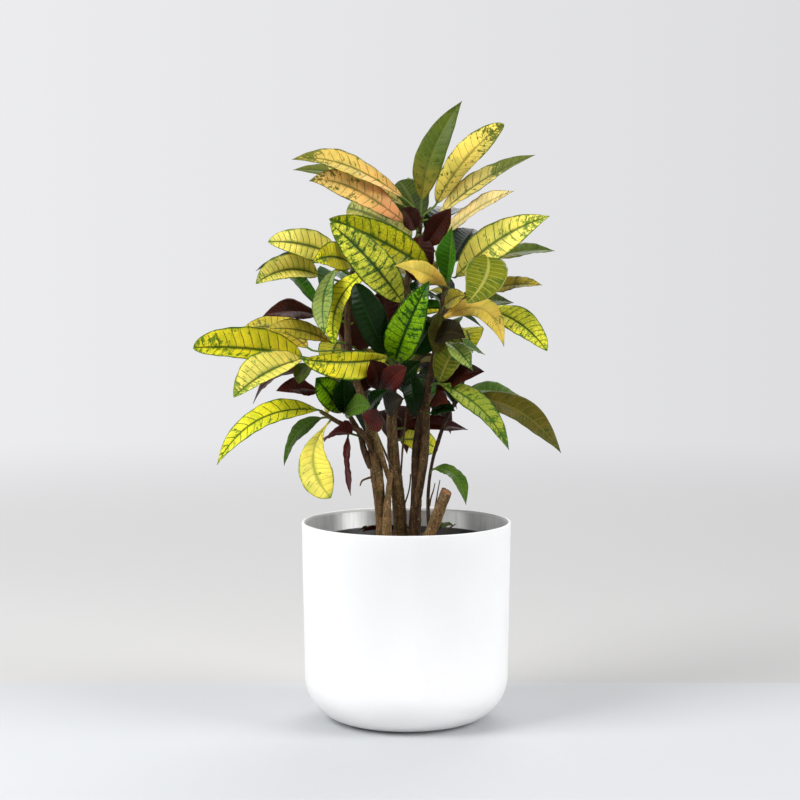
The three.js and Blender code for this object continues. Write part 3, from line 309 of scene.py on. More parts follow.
# Leaves read from the front view: stem and height on it; base across, down and depth; tip the same;
# bow across, towards the back and up; width, tilt, twist, fold, outline and kind
LEAVES = (
    ("C", 221, 422, 200, 2, 462, 101, -22, (-10, -14, 2), 42, 20, 0, 12, "lance", "olive"),
    ("C", 219, 437, 203, 8, 504, 124, 24, (-5, -4, 7), 42, 30, 0, 20, "blunt", "butter"),
    ("C", 222, 438, 217, -4, 535, 155, -34, (-3, 0, 8), 44, 58, 0, 16, "lance", "banded"),
    ("C", 226, 445, 235, -12, 514, 191, -62, (-2, 0, 6), 38, 60, 0, 16, "lance", "straw"),
    ("C", 222, 420, 222, 12, 399, 181, 66, (0, 0, 6), 50, 10, 0, 12, "oval", "moss"),
    ("C", 232, 416, 229, -6, 402, 209, -62, (0, 0, 4), 30, 20, 0, 20, "oval", "maroon"),
    ("C", 240, 425, 246, -12, 451, 208, -66, (3, -6, 3), 34, 15, 0, 20, "lance", "maroon"),
    ("C", 236, 419, 232, -6, 414, 276, -22, (4, -8, 4), 50, 20, 0, 16, "oval", "maroon"),
    ("C", 217, 403, 198, -10, 292, 159.5, -58, (-4, 0, 18), 42, 50, 0, 14, "lance", "peach"),
    ("C", 221, 404, 206, 8, 293, 170, 14, (-3, 0, 15), 42, 56, 0, 12, "lance", "banded"),
    ("C", 227, 405, 223, -12, 309, 181, -44, (-8, -4, 19), 46, 34, 8, 12, "lance", "blush"),
    ("C", 232, 410, 240, 14, 343, 206, 60, (-2, 0, 8), 64, 14, 0, 10, "blunt", "pale"),
    ("D", 284, 431, 271, -34, 329, 219, -56, (0, -8, 6), 50, 16, 0, 14, "oval", "net"),
    ("C", 298, 402, 302, -34, 330, 223, -92, (4, -14, 4), 50, 4, -10, 14, "oval", "gloss"),
    ("D", 296, 447, 286, -46, 393, 266, -94, (0, 0, 6), 30, 10, 170, 10, "lance", "apricot"),
    ("C", 372, 397, 357, -18, 433, 271, -42, (-3, -14, 2), 50, 10, -14, 16, "jade", "jade"),
    ("C", 374, 388, 357, -26, 358, 290, -88, (-3, -12, 2), 44, 18, 0, 16, "blunt", "dark"),
    ("C", 264, 367, 271, -14, 335, 345, -40, (-17, -8, 6), 42, 46, 0, 12, "oval", "bright"),
    ("A", 278, 335, 270, -6, 325, 334, -74, (-8, -10, 4), 34, 40, 0, 10, "oval", "palegreen"),
    ("A", 270, 345, 260, 4, 268, 242, -58, (-2, 0, 8), 44, 28, 0, 12, "oval", "sunny"),
    ("A", 288, 318, 275, -14, 256, 284, -90, (-2, 0, 12), 44, 30, 24, 30, "oval", "cream"),
    ("A", 272, 351, 264, -18, 313, 262, -104, (0, 0, 8), 42, 24, 0, 16, "lance", "yellow"),
    ("A", 276, 330, 264, 18, 256, 271, 44, (-4, 0, 12), 34, 66, 0, 14, "lance", "dark"),
    ("A", 318, 317, 305, 14, 282, 256, 48, (-5, 0, 3), 36, 58, 0, 14, "lance", "green"),
    ("A", 324, 318, 315, -6, 263, 316, -76, (0, 0, 6), 34, 44, 0, 14, "lance", "maroon"),
    ("A", 352, 308, 348, 18, 238, 334, 72, (0, 0, 18), 44, 38, 0, 12, "lance", "gold"),
    ("A", 344, 330, 342, -14, 265, 330, -84, (0, 0, 8), 32, 42, 0, 14, "lance", "gold"),
    ("A3", 362, 302, 357, -14, 193, 348, -30, (0, -4, 5), 60, 34, 0, 32, "blunt", "yellow"),
    ("C", 378, 387, 358, -36, 302, 359, -112, (0, -6, -4), 48, -24, 0, 28, "oval", "yellow"),
    ("A3", 363, 300, 360, -22, 228, 400, -92, (-3, 0, 6), 58, 40, 0, 32, "oval", "cream"),
    ("A3", 364, 311, 363, -16, 299, 384, -78, (-2, 0, 3), 26, 30, 0, 14, "oval", "moss"),
    ("A3", 366, 302, 371, -2, 253, 404, 34, (-6, 0, 12), 34, 72, 0, 14, "lance", "maroon"),
    ("A3", 369, 318, 391, -10, 276, 391, -78, (0, 0, 4), 30, 46, 0, 14, "lance", "wine"),
    ("A1", 412, 318, 410, -32, 217, 465, -62, (-12, -2, 23), 40, 42, 0, 12, "lance", "lime"),
    ("A1", 417, 330, 421, -36, 331, 498, -52, (-23, -6, 0), 48, 12, -30, 12, "drop", "lemon"),
    ("A1", 420, 322, 418, -20, 284, 466, 14, (-8, 0, 10), 24, 44, 0, 14, "lance", "sage"),
    ("A2", 438, 352, 434, -22, 324, 442, -96, (-2, 0, 8), 34, 128, 0, 14, "lance", "wine"),
    ("A1", 426, 348, 436, -28, 351, 496, -60, (-5, -4, 0), 18, 58, 0, 16, "lance", "wine"),
    ("A2", 412, 343, 412, -14, 316, 378, -76, (-3, -4, 5), 38, 20, 0, 16, "oval", "jade"),
    ("A2", 408, 344, 413, -18, 344, 377, -56, (0, -4, 4), 32, 16, 0, 16, "oval", "dark"),
    ("A2", 410, 347, 415, -20, 377, 404, -92, (0, -4, 8), 32, 40, 0, 16, "oval", "sage"),
    ("C1", 426, 366, 412, -22, 388, 390, -78, (0, -4, 4), 24, 40, 0, 16, "lance", "dark"),
    ("C1", 430, 381, 427, -32, 358, 412, -88, (0, -4, 4), 28, 28, 0, 16, "oval", "wine"),
    ("C", 402, 382, 394, -26, 407, 367, -94, (-3, -4, 3), 34, 20, 0, 16, "oval", "wine"),
    ("C", 392, 397, 385, -14, 421, 361, -74, (0, -4, 3), 30, 20, 0, 16, "lance", "dark"),
    ("C", 406, 404, 404, 22, 412, 364, 48, (0, 4, 4), 42, 8, 0, 14, "oval", "dark"),
    # painted shade: this dark maroon leaf fills a spot that is only shade
    ("C", 396, 380, 390, -14, 366, 362, -84, (0, -4, 4), 36, 20, 0, 16, "lance", "maroon"),
    # painted shade: this leaf is coloured as it looks in the deep shade inside the bush
    ("C", 416, 386, 410, -18, 403, 398, -96, (0, -4, 4), 34, 30, 0, 16, "oval", "umber"),
    ("D", 352, 437, 354, -16, 441, 313, -36, (0, -3, 3), 28, 20, 0, 14, "oval", "bronzegreen"),
    ("D", 276, 456, 277, -18, 550, 216, -56, (-4, -4, 10), 50, 20, 0, 12, "lance", "cream"),
    ("D3", 282, 490, 259, 0, 555, 251, 52, (0, 0, 5), 34, 58, 0, 14, "lance", "olive"),
    ("D3", 283, 487, 253, -30, 470, 297, -100, (12, -10, 4), 56, 12, 0, 12, "oval", "mottle"),
    ("D3", 288, 486, 291, -20, 542, 285, -84, (0, 0, 4), 30, 56, 0, 14, "lance", "bronze"),
    ("D", 306, 458, 306, -2, 514, 303, 60, (0, 0, 5), 32, 48, 0, 14, "lance", "moss"),
    ("D3", 292, 485, 309, -20, 547, 351, -82, (5, 0, 8), 44, 40, 0, 12, "oval", "netlime"),
    ("D", 330, 440, 321, -24, 504, 347, -74, (14, -4, 32), 36, 34, 40, 12, "lance", "apricot"),
    ("D", 312, 446, 305, -26, 472, 291, -98, (0, -4, 4), 28, 30, 0, 16, "lance", "bronze"),
    # painted shade: this leaf is coloured as it looks in the shade under the leaves above it
    ("D", 346, 438, 339, -22, 490, 332, -100, (0, 0, 9), 36, 36, 0, 14, "lance", "umber"),
    # painted shade: this leaf is coloured as it looks in shade
    ("D", 272, 452, 262, 8, 474, 229, 82, (0, 0, 5), 46, 30, 0, 14, "oval", "slate"),
    ("D", 290, 446, 284, -14, 452, 226, -66, (2, -8, 2), 38, 42, 0, 30, "lance", "green"),
    ("D", 388, 440, 384, -22, 509, 450, -66, (8, -2, 11), 40, 46, 0, 12, "lance", "speckle"),
    ("E", 398, 474, 397, -18, 561, 453, -42, (8, 0, 14), 44, 42, 0, 12, "lance", "bronzegreen"),
    ("E", 397, 466, 391, -6, 538, 412, 46, (3, 0, 10), 36, 70, 0, 14, "lance", "sage"),
    ("D", 396, 436, 393, -4, 487, 378, -44, (0, 0, 8), 34, 42, 0, 14, "lance", "maroon"),
    ("D", 384, 440, 380, -14, 460, 336, 10, (0, -4, 4), 42, 30, 0, 14, "oval", "mottle"),
    ("D", 348, 443, 341, -28, 473, 371, -82, (4, -4, 4), 26, 20, 110, 10, "lance", "palegreen"),
    ("D", 354, 446, 346, 2, 485, 355, 66, (0, 0, 6), 26, 62, 0, 14, "lance", "sage"),
    ("D", 406, 430, 404, -26, 449, 404, -92, (0, 0, 6), 24, 40, 0, 16, "lance", "maroon"),
    ("D", 412, 431, 413, -28, 455, 411, -74, (0, 0, 6), 26, 40, 0, 16, "lance", "dark"),
    ("C", 430, 403, 428, 20, 468, 430, 62, (0, 0, 6), 30, 50, 0, 14, "lance", "maroon"),
    ("C", 442, 401, 440, 22, 438, 450, 96, (0, 0, 6), 40, 30, 0, 14, "oval", "lime"),
    ("E", 474, 434, 469, -26, 466, 505, -58, (7, 0, 14), 26, 48, 0, 14, "lance", "sage"),
    ("A", 346, 364, 352, 18, 342, 292, 32, (0, 4, 4), 54, 6, 0, 14, "oval", "maroon"),
    ("C", 358, 393, 348, 24, 383, 286, 44, (0, 4, 4), 52, 8, 0, 14, "oval", "maroon"),
    ("C", 372, 409, 374, -6, 414, 418, -2, (2, -4, 2), 30, 10, 0, 14, "lance", "dark"),
    ("C", 366, 414, 356, 26, 438, 322, 58, (0, 4, 4), 48, 10, 0, 14, "oval", "dark"),
    ("A", 392, 352, 390, 16, 374, 366, 34, (0, 4, 4), 44, 10, 0, 14, "oval", "maroon"),
)

# Spirals of leaves on the side away from the viewer: stem, first and last height, count, rise,
# reach, width, and first and last heading
SPIRALS = (
    ("C", 226, 346, 9, 34, 120, 44, (30, 150)),
    ("C2", 282, 350, 6, 30, 132, 46, (30, 152)),
    ("A", 272, 366, 6, 22, 120, 44, (45, 124)),
    ("A4", 316, 362, 5, 20, 124, 44, (42, 118)),
    ("D", 274, 368, 6, 26, 108, 44, (58, 150)),
    ("D4", 326, 366, 5, 18, 112, 44, (70, 148)),
    ("A", 378, 412, 4, 16, 92, 42, (24, 120)),
    ("C", 356, 404, 6, 16, 104, 42, (20, 160)),
    ("D", 376, 408, 4, 16, 92, 40, (56, 156)),
)

# Dead twigs: places across, down, depth and radius, root end first
TWIGS = (
    ((429.5, 506, -22, 1.3), (431, 498, -24, 1.1), (433.5, 490, -26, 0.9), (435, 483, -27, 0.6)),
    ((435, 508, -40, 1.2), (436.5, 499, -38, 1.0), (438, 490, -37, 0.8), (440, 480, -36, 0.6)),
    ((405, 503, 2, 1.2), (408, 494, 2, 1.0), (410, 484, 2, 1.0), (410.5, 474, 2, 0.8)),
    ((372, 477, -8, 1.8), (367, 478.5, -12, 1.5), (362, 481, -14, 1.3), (360, 486, -15, 0.8)),
    ((446, 531, 60, 1.3), (451, 527, 60, 1.1), (455.5, 524, 60, 0.9)),
    ((397, 476, -14, 1.3), (391, 466, -17, 1.4), (384, 450, -19, 1.5), (377, 434, -18, 1.4)),
    ((390, 456, -9, 1.7), (391.5, 430, -10, 1.8), (389, 398, -8, 1.6)),
    ((401, 474, -5, 1.2), (402.5, 450, -6, 1.4), (405, 424, -6, 1.5), (408, 398, -6, 1.3)),
    ((402, 420, -8, 1.3), (397, 415, -15, 1.2), (399, 404, -16, 1.0), (404, 398, -14, 0.8)),
    ((374, 452, -17, 1.4), (366, 441, -21, 1.4), (361, 428, -22, 1.2)),
    ((429, 514, -22, 1.1), (427, 507, -25, 0.9), (428, 497, -27, 0.7)),
)

# Fallen leaves on the soil, in millimetres: root, base, tip, width, fold and kind, and the bow, tilt
# and twist that they all have
FALLEN_BOW = (0, 0, 3)
FALLEN_TURNS = (8, 20)
FALLEN = (
    ((10, 58, 246), (2, 58, 247), (-60, 60, 246), 22, 30, "maroon"),
    ((-36, 64, 247), (-42, 64, 248), (-66, 66, 246), 12, 10, "bronzegreen"),
    ((36, 64, 243), (40, 66, 245), (64, 74, 252), 20, 20, "moss"),
)


def seen(across, down, depth):
    """The place, in millimetres, of a point of the front view at this depth."""
    look = math.radians(VIEW["down"])
    angle = math.atan((VIEW["middle"] - down) / VIEW["focal"]) - look
    away = VIEW["distance"] + depth
    rise = away * math.tan(angle)
    along = away * math.cos(look) - rise * math.sin(look)
    return Vector(((across - VIEW["across"]) * along / VIEW["focal"], depth, VIEW["eye"] + rise))


def chance(number):
    """A fixed draw between 0 and 1 for a number, the same on every run."""
    factor, start, stretch = DRAW_WAVE
    wave = math.sin(number * factor + start) * stretch
    return wave - math.floor(wave)


def ease(value, low, high):
    """A smooth step from 0 at low to 1 at high, for numbers and arrays."""
    share = np.clip((np.asarray(value, float) - low) / (high - low), 0, 1)
    return share * share * (3 - 2 * share)


def curve_point(points, t):
    """A point on the centripetal curve through the points."""
    place = (len(points) - 1) * t
    i = min(int(place), len(points) - 2)
    share = place - i
    first, second = points[i], points[i + 1]
    before = points[i - 1] if i > 0 else 2 * first - second
    after = points[i + 2] if i + 2 < len(points) else 2 * second - first
    near, mid, far = (
        math.sqrt((b - a).length) for a, b in ((before, first), (first, second), (second, after))
    )
    leave = ((first - before) / near - (second - before) / (near + mid) + (second - first) / mid) * mid
    arrive = ((second - first) / mid - (after - first) / (mid + far) + (after - second) / far) * mid
    square, cube = share * share, share * share * share
    turn = -3 * first + 3 * second - 2 * leave - arrive
    return first + leave * share + turn * square + (2 * first - 2 * second + leave + arrive) * cube


def stem_point(name, down):
    """The point of a stem that is seen at this height of the front view."""
    places = STEMS[name][1:]
    i = 1
    while i < len(places) - 1 and places[i][1] > down:
        i += 1
    share = (places[i - 1][1] - down) / (places[i - 1][1] - places[i][1])
    t = (i - 1 + min(max(share, 0), 1)) / (len(places) - 1)
    return curve_point([seen(*place[:3]) for place in places], t)


class Leaf:
    """One leaf: petiole root, blade base and tip, bow and facing in millimetres, and its looks."""

    def __init__(self, node, root, base, tip, bow, facing, width, tilt, twist, fold, order, outline, kind):
        self.node, self.order, self.outline, self.kind = node, order, outline, kind
        self.root, self.base, self.tip, self.bow, self.facing = root, base, tip, bow, facing
        self.width, self.tilt, self.twist, self.fold = width, tilt, twist, fold
        self.phase = order * PHASE_STEP
        self.relief = LEAST_RELIEF + RELIEF_SPREAD * chance(order + RELIEF_DRAW)

    def swung(self, deep, aside):
        """A copy turned about its root, first in depth and then sideways, in degrees."""
        hinge = (self.tip - self.base).cross(self.facing).normalized()
        turn = Quaternion(self.facing, math.radians(aside)) @ Quaternion(hinge, math.radians(deep))
        base, tip = (self.root + turn @ (point - self.root) for point in (self.base, self.tip))
        return Leaf(
            self.node, self.root, base, tip, turn @ self.bow, turn @ self.facing,
            self.width, self.tilt, self.twist, self.fold, self.order, self.outline, self.kind,
        )

    def frames(self, t):
        """Centre, along, face and side of the blade at each place of an array from base to tip."""
        chord = np.array(self.tip - self.base)
        axis = chord / np.linalg.norm(chord)
        t = np.asarray(t, float)[:, None]
        bow = np.array(self.bow)
        centre = np.array(self.base) + chord * t + bow * 4 * t * (1 - t)
        along = unit(chord + bow * (4 - 8 * t))
        facing = np.array(self.facing)
        facing = unit((facing - axis * (facing @ axis))[None, :])
        angle = np.radians(self.tilt + self.twist * (t - 0.5))
        face = facing * np.cos(angle) + np.cross(axis, facing) * np.sin(angle)
        face = unit(face - along * np.sum(face * along, axis=1, keepdims=True))
        return centre, along, face, np.cross(along, face)


def unit(vectors):
    """The vectors of an array, each made one long."""
    return vectors / np.linalg.norm(vectors, axis=1, keepdims=True)


def front_leaf(row, order):
    """A leaf that the front view shows, from its row; a leaf to the right tilts the other way."""
    stem, height, *ends, bow, width, tilt, twist, fold, outline, kind = row
    base, tip = ends[:3], ends[3:]
    tilt = -tilt if tip[0] > base[0] else tilt
    return Leaf(
        STEMS[stem][0], stem_point(stem, height), seen(*base), seen(*tip),
        Vector(bow), TO_VIEWER.copy(), width, tilt, twist, fold, order, OUTLINES[outline], kind,
    )


def back_leaf(spiral, index, order):
    """A leaf of a spiral, its measures drawn from its order."""
    stem, first_height, last_height, count, rise, reach, width, (first, last) = spiral
    kinds = LOW_SHADE_KINDS if first_height > LOW_HEIGHT else BACK_KINDS
    share = index / (count - 1)
    around = (index * SPIRAL_TURN + order * SPIRAL_SHIFT) % 1
    angle = math.radians(first + (last - first) * around)

    def draw(key):
        start, low, high = DRAWS[key]
        return low + (high - low) * chance(order + start)

    def heading(up):
        return Vector((math.cos(angle) * math.cos(up), math.sin(angle) * math.cos(up), math.sin(up)))

    lift = math.radians(rise - SPIRAL_FALL * share + draw("rise"))
    droop = lift - math.radians(draw("droop"))
    root = stem_point(stem, first_height + (last_height - first_height) * share)
    base = root + heading(lift) * draw("stalk")
    tip = base + heading(droop) * reach * draw("length")
    return Leaf(
        STEMS[stem][0], root, base, tip, Vector((0, 0, draw("bow"))), UP.copy(),
        width * draw("width"), draw("tilt"), draw("twist"), draw("fold"), order,
        OUTLINES["lance"], kinds[int(len(kinds) * chance(order + KIND_DRAW))],
    )


def swings():
    """The turns that a leaf may have made, in degrees in depth and sideways, the cheapest first."""
    found = []
    for deep in range(-SWING["deep"], SWING["deep"] + 1):
        for aside in range(-SWING["aside"], SWING["aside"] + 1):
            cost = (
                abs(deep) + SWING["aside_cost"] * abs(aside)
                + SWING["lift_cost"] * (deep > 0) + SWING["clockwise_cost"] * (aside < 0)
            )
            found.append((cost, deep * SWING["step"], aside * SWING["step"]))
    return [swing[1:] for swing in sorted(found, key=lambda swing: swing[0])]


def placed_leaves():
    """Every leaf that the solids have, turned as it is there: its tip is a corner of its node."""
    corners = {}
    for node in LEAFY_NODES:
        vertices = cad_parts[node].data.vertices
        tree = KDTree(len(vertices))
        for i, vertex in enumerate(vertices):
            tree.insert(vertex.co / MM, i)
        tree.balance()
        corners[node] = tree
    leaves = [front_leaf(row, order) for order, row in enumerate(LEAVES)]
    for spiral in SPIRALS:
        for index in range(spiral[3]):
            leaves.append(back_leaf(spiral, index, len(leaves)))
    turns = swings()
    placed = []
    for leaf in leaves:
        for deep, aside in turns:
            moved = leaf.swung(deep, aside)
            face = moved.frames([1.0])[2][0]
            corner = moved.tip + Vector(face) * SOLID_HALF_THICKNESS
            if corners[leaf.node].find(corner)[2] < TIP_REACH:
                placed.append(moved)
                break
    return placed


def leaf_kind(main, second, vein, blotch, tip, net, veins, gloss=0.3, flush=(225, 150, 80), share=0.0):
    """The values of a row of KINDS by name, with the usual gloss and flush where it gives none."""
    return {
        "main": main, "second": second, "vein": vein, "flush": flush, "flush_share": share,
        "blotch": blotch, "tip": tip, "net": net, "veins": veins, "gloss": gloss,
    }


def paint(red, green, blue):
    """A colour given in 0 to 255 screen values, as Blender's linear colour."""
    linear = []
    for value in (red, green, blue):
        share = value / 255
        linear.append(share / 12.92 if value <= 10 else ((share + 0.055) / 1.055) ** 2.4)
    return (*linear, 1.0)


class Nodes:
    """Short calls that add the nodes of one tree and link them."""

    def __init__(self, tree):
        self.tree = tree

    def add(self, kind, values=None, **settings):
        node = self.tree.nodes.new(kind)
        for name, value in settings.items():
            setattr(node, name, value)
        for key, value in (values or {}).items():
            self.set(node.inputs[key], value)
        return node

    def set(self, socket, value):
        """Links an output to the socket, or gives the socket a plain value."""
        if isinstance(value, bpy.types.NodeSocket):
            self.tree.links.new(value, socket)
        else:
            socket.default_value = value

    def made(self, kind, values=None, **settings):
        """The first output of a new node."""
        return self.add(kind, values, **settings).outputs[0]

    def math(self, operation, *values):
        return self.made("ShaderNodeMath", dict(enumerate(values)), operation=operation)

    def times(self, *factors):
        return reduce(lambda left, right: self.math("MULTIPLY", left, right), factors)

    def plus(self, *terms):
        return reduce(lambda left, right: self.math("ADD", left, right), terms)

    def most(self, *values):
        return reduce(lambda left, right: self.math("MAXIMUM", left, right), values)

    def line(self, value, slope, start):
        """A value times a slope, plus a start."""
        return self.math("MULTIPLY_ADD", value, slope, start)

    def stretched(self, vector, factors):
        return self.made("ShaderNodeVectorMath", {0: vector, 1: factors}, operation="MULTIPLY")

    def scaled(self, vector, scale):
        return self.made("ShaderNodeVectorMath", {0: vector, "Scale": scale}, operation="SCALE")

    def reach(self, vector):
        """The length of a vector."""
        return self.add("ShaderNodeVectorMath", {0: vector}, operation="LENGTH").outputs["Value"]

    def parts(self, vector):
        """The three parts of a vector."""
        return self.add("ShaderNodeSeparateXYZ", {0: vector}).outputs

    def ease(self, value, low, high):
        """A smooth step from 0 at low to 1 at high."""
        values = {0: value, 1: low, 2: high}
        return self.made("ShaderNodeMapRange", values, interpolation_type="SMOOTHSTEP")

    def mix(self, factor, first, second, blend="MIX"):
        values = {0: factor, 6: first, 7: second}
        return self.add("ShaderNodeMix", values, data_type="RGBA", blend_type=blend).outputs[2]

    def noise(self, vector, scale, detail=2.0, roughness=0.5):
        values = {"Vector": vector, "Scale": scale, "Detail": detail, "Roughness": roughness}
        return self.made("ShaderNodeTexNoise", values)

    def attribute(self, name, output="Fac"):
        """A shader's reading of an attribute of the mesh."""
        return self.add("ShaderNodeAttribute", attribute_name=name).outputs[output]

    def field(self, name, data_type="FLOAT"):
        """A geometry tree's reading of an attribute of the mesh."""
        return self.made("GeometryNodeInputNamedAttribute", {"Name": name}, data_type=data_type)


def material(name, build):
    """A new Principled material, whose look the build function makes."""
    made = bpy.data.materials.new(name)
    made.use_nodes = True
    nodes = Nodes(made.node_tree)
    shader = made.node_tree.nodes["Principled BSDF"]
    build(nodes, shader)
    return made


def connect(nodes, shader, height, strength, distance, **sockets):
    """Links colours and values to the shader's sockets, and a height to its normal."""
    for name, value in sockets.items():
        nodes.set(shader.inputs[name.replace("_", " ")], value)
    bump = nodes.made("ShaderNodeBump", {"Strength": strength, "Distance": distance, "Height": height})
    nodes.set(shader.inputs["Normal"], bump)


def object_place(nodes):
    """The place on a piece, in metres."""
    return nodes.add("ShaderNodeTexCoord").outputs["Object"]


def leaf_look(nodes, shader):
    """Waxy blade: midrib, side veins, net and green or dark blotches over the leaf's own colours."""
    stalk_green, pale_under = paint(96, 120, 52), paint(150, 150, 104)
    dull_tone, bright_tone = (0.82, 0.86, 0.8, 1), (1.12, 1.08, 1, 1)
    place = object_place(nodes)
    blade = nodes.parts(nodes.made("ShaderNodeUVMap", uv_map="blade"))
    across = nodes.math("ABSOLUTE", nodes.line(blade[0], 2.0, -1.0))
    along = blade[1]
    main, second, vein_color, flush, marks = (
        nodes.attribute(name, "Color") for name in ("main", "second", "vein", "flush", "marks")
    )
    blotched, tipped, netted = nodes.add("ShaderNodeSeparateColor", {0: marks}).outputs[:3]
    draw, gloss = nodes.attribute("main", "Alpha"), nodes.attribute("second", "Alpha")
    flushed, veined = nodes.attribute("flush", "Alpha"), nodes.attribute("marks", "Alpha")
    rows, under = nodes.attribute("rows"), nodes.attribute("under")
    broad = nodes.noise(place, 55.0, 3.0)
    fine = nodes.noise(place, 330.0, 3.0, 0.6)
    lane = nodes.made("ShaderNodeCombineXYZ", {0: rows, 1: across, 2: nodes.times(draw, 40.0)})
    streak = nodes.noise(nodes.stretched(lane, (2.6, 2.2, 1.0)), 1.0, 4.0, 0.6)

    wander = nodes.line(nodes.noise(place, 120.0), 0.22, -0.11)
    beat = nodes.math("FRACT", nodes.plus(rows, wander))
    nearness = nodes.times(nodes.math("ABSOLUTE", nodes.math("SUBTRACT", beat, 0.5)), 2.0)
    side_veins = nodes.times(nodes.ease(nearness, 0.85, 0.95), nodes.ease(across, 1.0, 0.72))
    cells = nodes.made("ShaderNodeTexVoronoi", {"Vector": place, "Scale": 210}, feature="DISTANCE_TO_EDGE")
    net = nodes.times(nodes.ease(cells, 0.14, 0.03), netted)
    midrib = nodes.ease(across, 0.11, 0.05)
    margin = nodes.times(nodes.ease(across, 0.9, 0.97), 0.8)
    veins = nodes.times(nodes.most(side_veins, midrib, net, margin), veined)

    tip = nodes.times(nodes.ease(along, 0.45, 1.0), tipped)
    rim = nodes.times(nodes.ease(across, 0.84, 1.0), 0.3)
    cloud = nodes.line(streak, 1.3, nodes.line(fine, 0.8, -0.95))
    cloud = nodes.line(broad, 1.1, cloud)
    halo = nodes.times(nodes.ease(nearness, 0.35, 0.95), netted)
    level = nodes.plus(cloud, tip, nodes.line(halo, 0.35, rim))
    level = nodes.line(blotched, 0.75, level)
    blotches = nodes.times(nodes.ease(level, 0.88, 1.06), 0.88)

    warm = nodes.times(nodes.ease(nodes.line(broad, 0.5, along), 0.75, 0.3), flushed)
    color = nodes.mix(warm, main, flush)
    tone = nodes.mix(nodes.ease(nodes.noise(place, 34.0), 0.35, 0.65), dull_tone, bright_tone)
    color = nodes.mix(1.0, color, tone, "MULTIPLY")
    fringe = nodes.most(nodes.ease(across, 0.26, 0.08), nodes.ease(across, 0.78, 0.97))
    fringe = nodes.times(fringe, nodes.ease(broad, 0.36, 0.58), 0.5)
    color = nodes.mix(nodes.times(fringe, veined), color, second)
    color = nodes.mix(blotches, color, second)
    color = nodes.mix(nodes.times(nodes.ease(along, 0.92, 1.0), 0.8), color, second)
    color = nodes.mix(nodes.times(veins, 0.92), color, vein_color)
    color = nodes.mix(nodes.attribute("stalk"), color, stalk_green)
    pale = nodes.mix(0.5, color, pale_under, "MULTIPLY")
    color = nodes.mix(nodes.times(under, 0.45), color, pale)
    dull = nodes.line(gloss, -0.22, nodes.line(under, 0.2, 0.34))
    roughness = nodes.line(fine, 0.12, nodes.line(draw, 0.06, dull))
    height = nodes.line(fine, 0.25, nodes.times(veins, -0.9))
    connect(nodes, shader, height, 0.5, 0.0006, Base_Color=color, Roughness=roughness,
            Specular_IOR_Level=0.1, Subsurface_Weight=0.05, Subsurface_Scale=0.002)


def bark_look(nodes, shader):
    """Grey-brown cracked bark with painted shade high up inside the bush, that turns smooth and green on
    young ends.
    """
    brown, tan, moss, crack = paint(82, 57, 31), paint(150, 116, 72), paint(98, 82, 44), paint(36, 23, 13)
    speck, scar = paint(196, 174, 128), paint(132, 104, 66)
    shaded_brown, shaded_tan = paint(24, 14, 7), paint(74, 47, 26)
    young_green, young_olive = paint(74, 92, 38), paint(104, 104, 50)
    place = object_place(nodes)
    streaks = nodes.noise(nodes.stretched(place, (1.0, 1.0, 0.24)), 420.0, 5.0, 0.65)
    patches = nodes.noise(place, 70.0, 3.0)
    specks = nodes.ease(nodes.noise(place, 520.0, 2.0), 0.6, 0.68)
    color = nodes.mix(nodes.ease(streaks, 0.32, 0.68), brown, tan)
    color = nodes.mix(nodes.ease(patches, 0.48, 0.68), color, moss)
    color = nodes.mix(nodes.ease(streaks, 0.36, 0.28), color, crack)
    color = nodes.mix(nodes.times(specks, 0.8), color, speck)
    dark = nodes.mix(nodes.ease(streaks, 0.4, 0.66), shaded_brown, shaded_tan)
    # painted shade: above about 0.41 m, where the canes run inside the foliage, the bark is mixed towards
    # its dark colours
    inside = nodes.times(nodes.ease(nodes.parts(place)[2], 0.41, 0.47), 0.75)
    color = nodes.mix(nodes.most(nodes.attribute("shade"), inside), color, dark)
    color = nodes.mix(nodes.attribute("scar"), color, scar)
    young = nodes.mix(nodes.ease(patches, 0.4, 0.6), young_green, young_olive)
    color = nodes.mix(nodes.attribute("young"), color, young)
    roughness = nodes.line(streaks, 0.2, 0.48)
    height = nodes.line(streaks, 1.0, nodes.times(patches, 0.5))
    connect(nodes, shader, height, 0.45, 0.0008, Base_Color=color, Roughness=roughness,
            Specular_IOR_Level=0.2)


def cut_wood_look(nodes, shader):
    """Sawn end grain: wavering rings and an orange-brown weathered face with a dark rim."""
    light_ring, dark_ring = paint(212, 146, 92), paint(172, 102, 58)
    stain, bark_edge = paint(92, 52, 32), paint(74, 54, 36)
    place = nodes.made("ShaderNodeUVMap", uv_map="face")
    radius = nodes.reach(place)
    wobble = nodes.times(nodes.noise(place, 3.0, 3.0), 0.5)
    rings = nodes.math("SINE", nodes.times(nodes.plus(radius, wobble), 34.0))
    color = nodes.mix(nodes.ease(rings, -0.6, 0.9), light_ring, dark_ring)
    color = nodes.mix(nodes.ease(nodes.noise(place, 5.0, 4.0), 0.5, 0.7), color, stain)
    color = nodes.mix(nodes.ease(radius, 0.8, 0.98), color, bark_edge)
    connect(nodes, shader, rings, 0.4, 0.0004, Base_Color=color, Roughness=0.8)


def soil_look(nodes, shader):
    """Dark damp potting soil with lighter fibres."""
    peat, loam, damp, fibre = paint(22, 15, 11), paint(74, 52, 36), paint(50, 37, 27), paint(140, 112, 78)
    place = object_place(nodes)
    grains = nodes.noise(place, 420.0, 6.0, 0.7)
    patches = nodes.noise(place, 60.0, 3.0)
    fibres = nodes.times(nodes.ease(nodes.noise(place, 700.0), 0.68, 0.74), 0.7)
    color = nodes.mix(nodes.ease(grains, 0.35, 0.7), peat, loam)
    color = nodes.mix(nodes.ease(patches, 0.52, 0.7), color, damp)
    color = nodes.mix(fibres, color, fibre)
    connect(nodes, shader, grains, 0.9, 0.0016, Base_Color=color, Roughness=0.92)


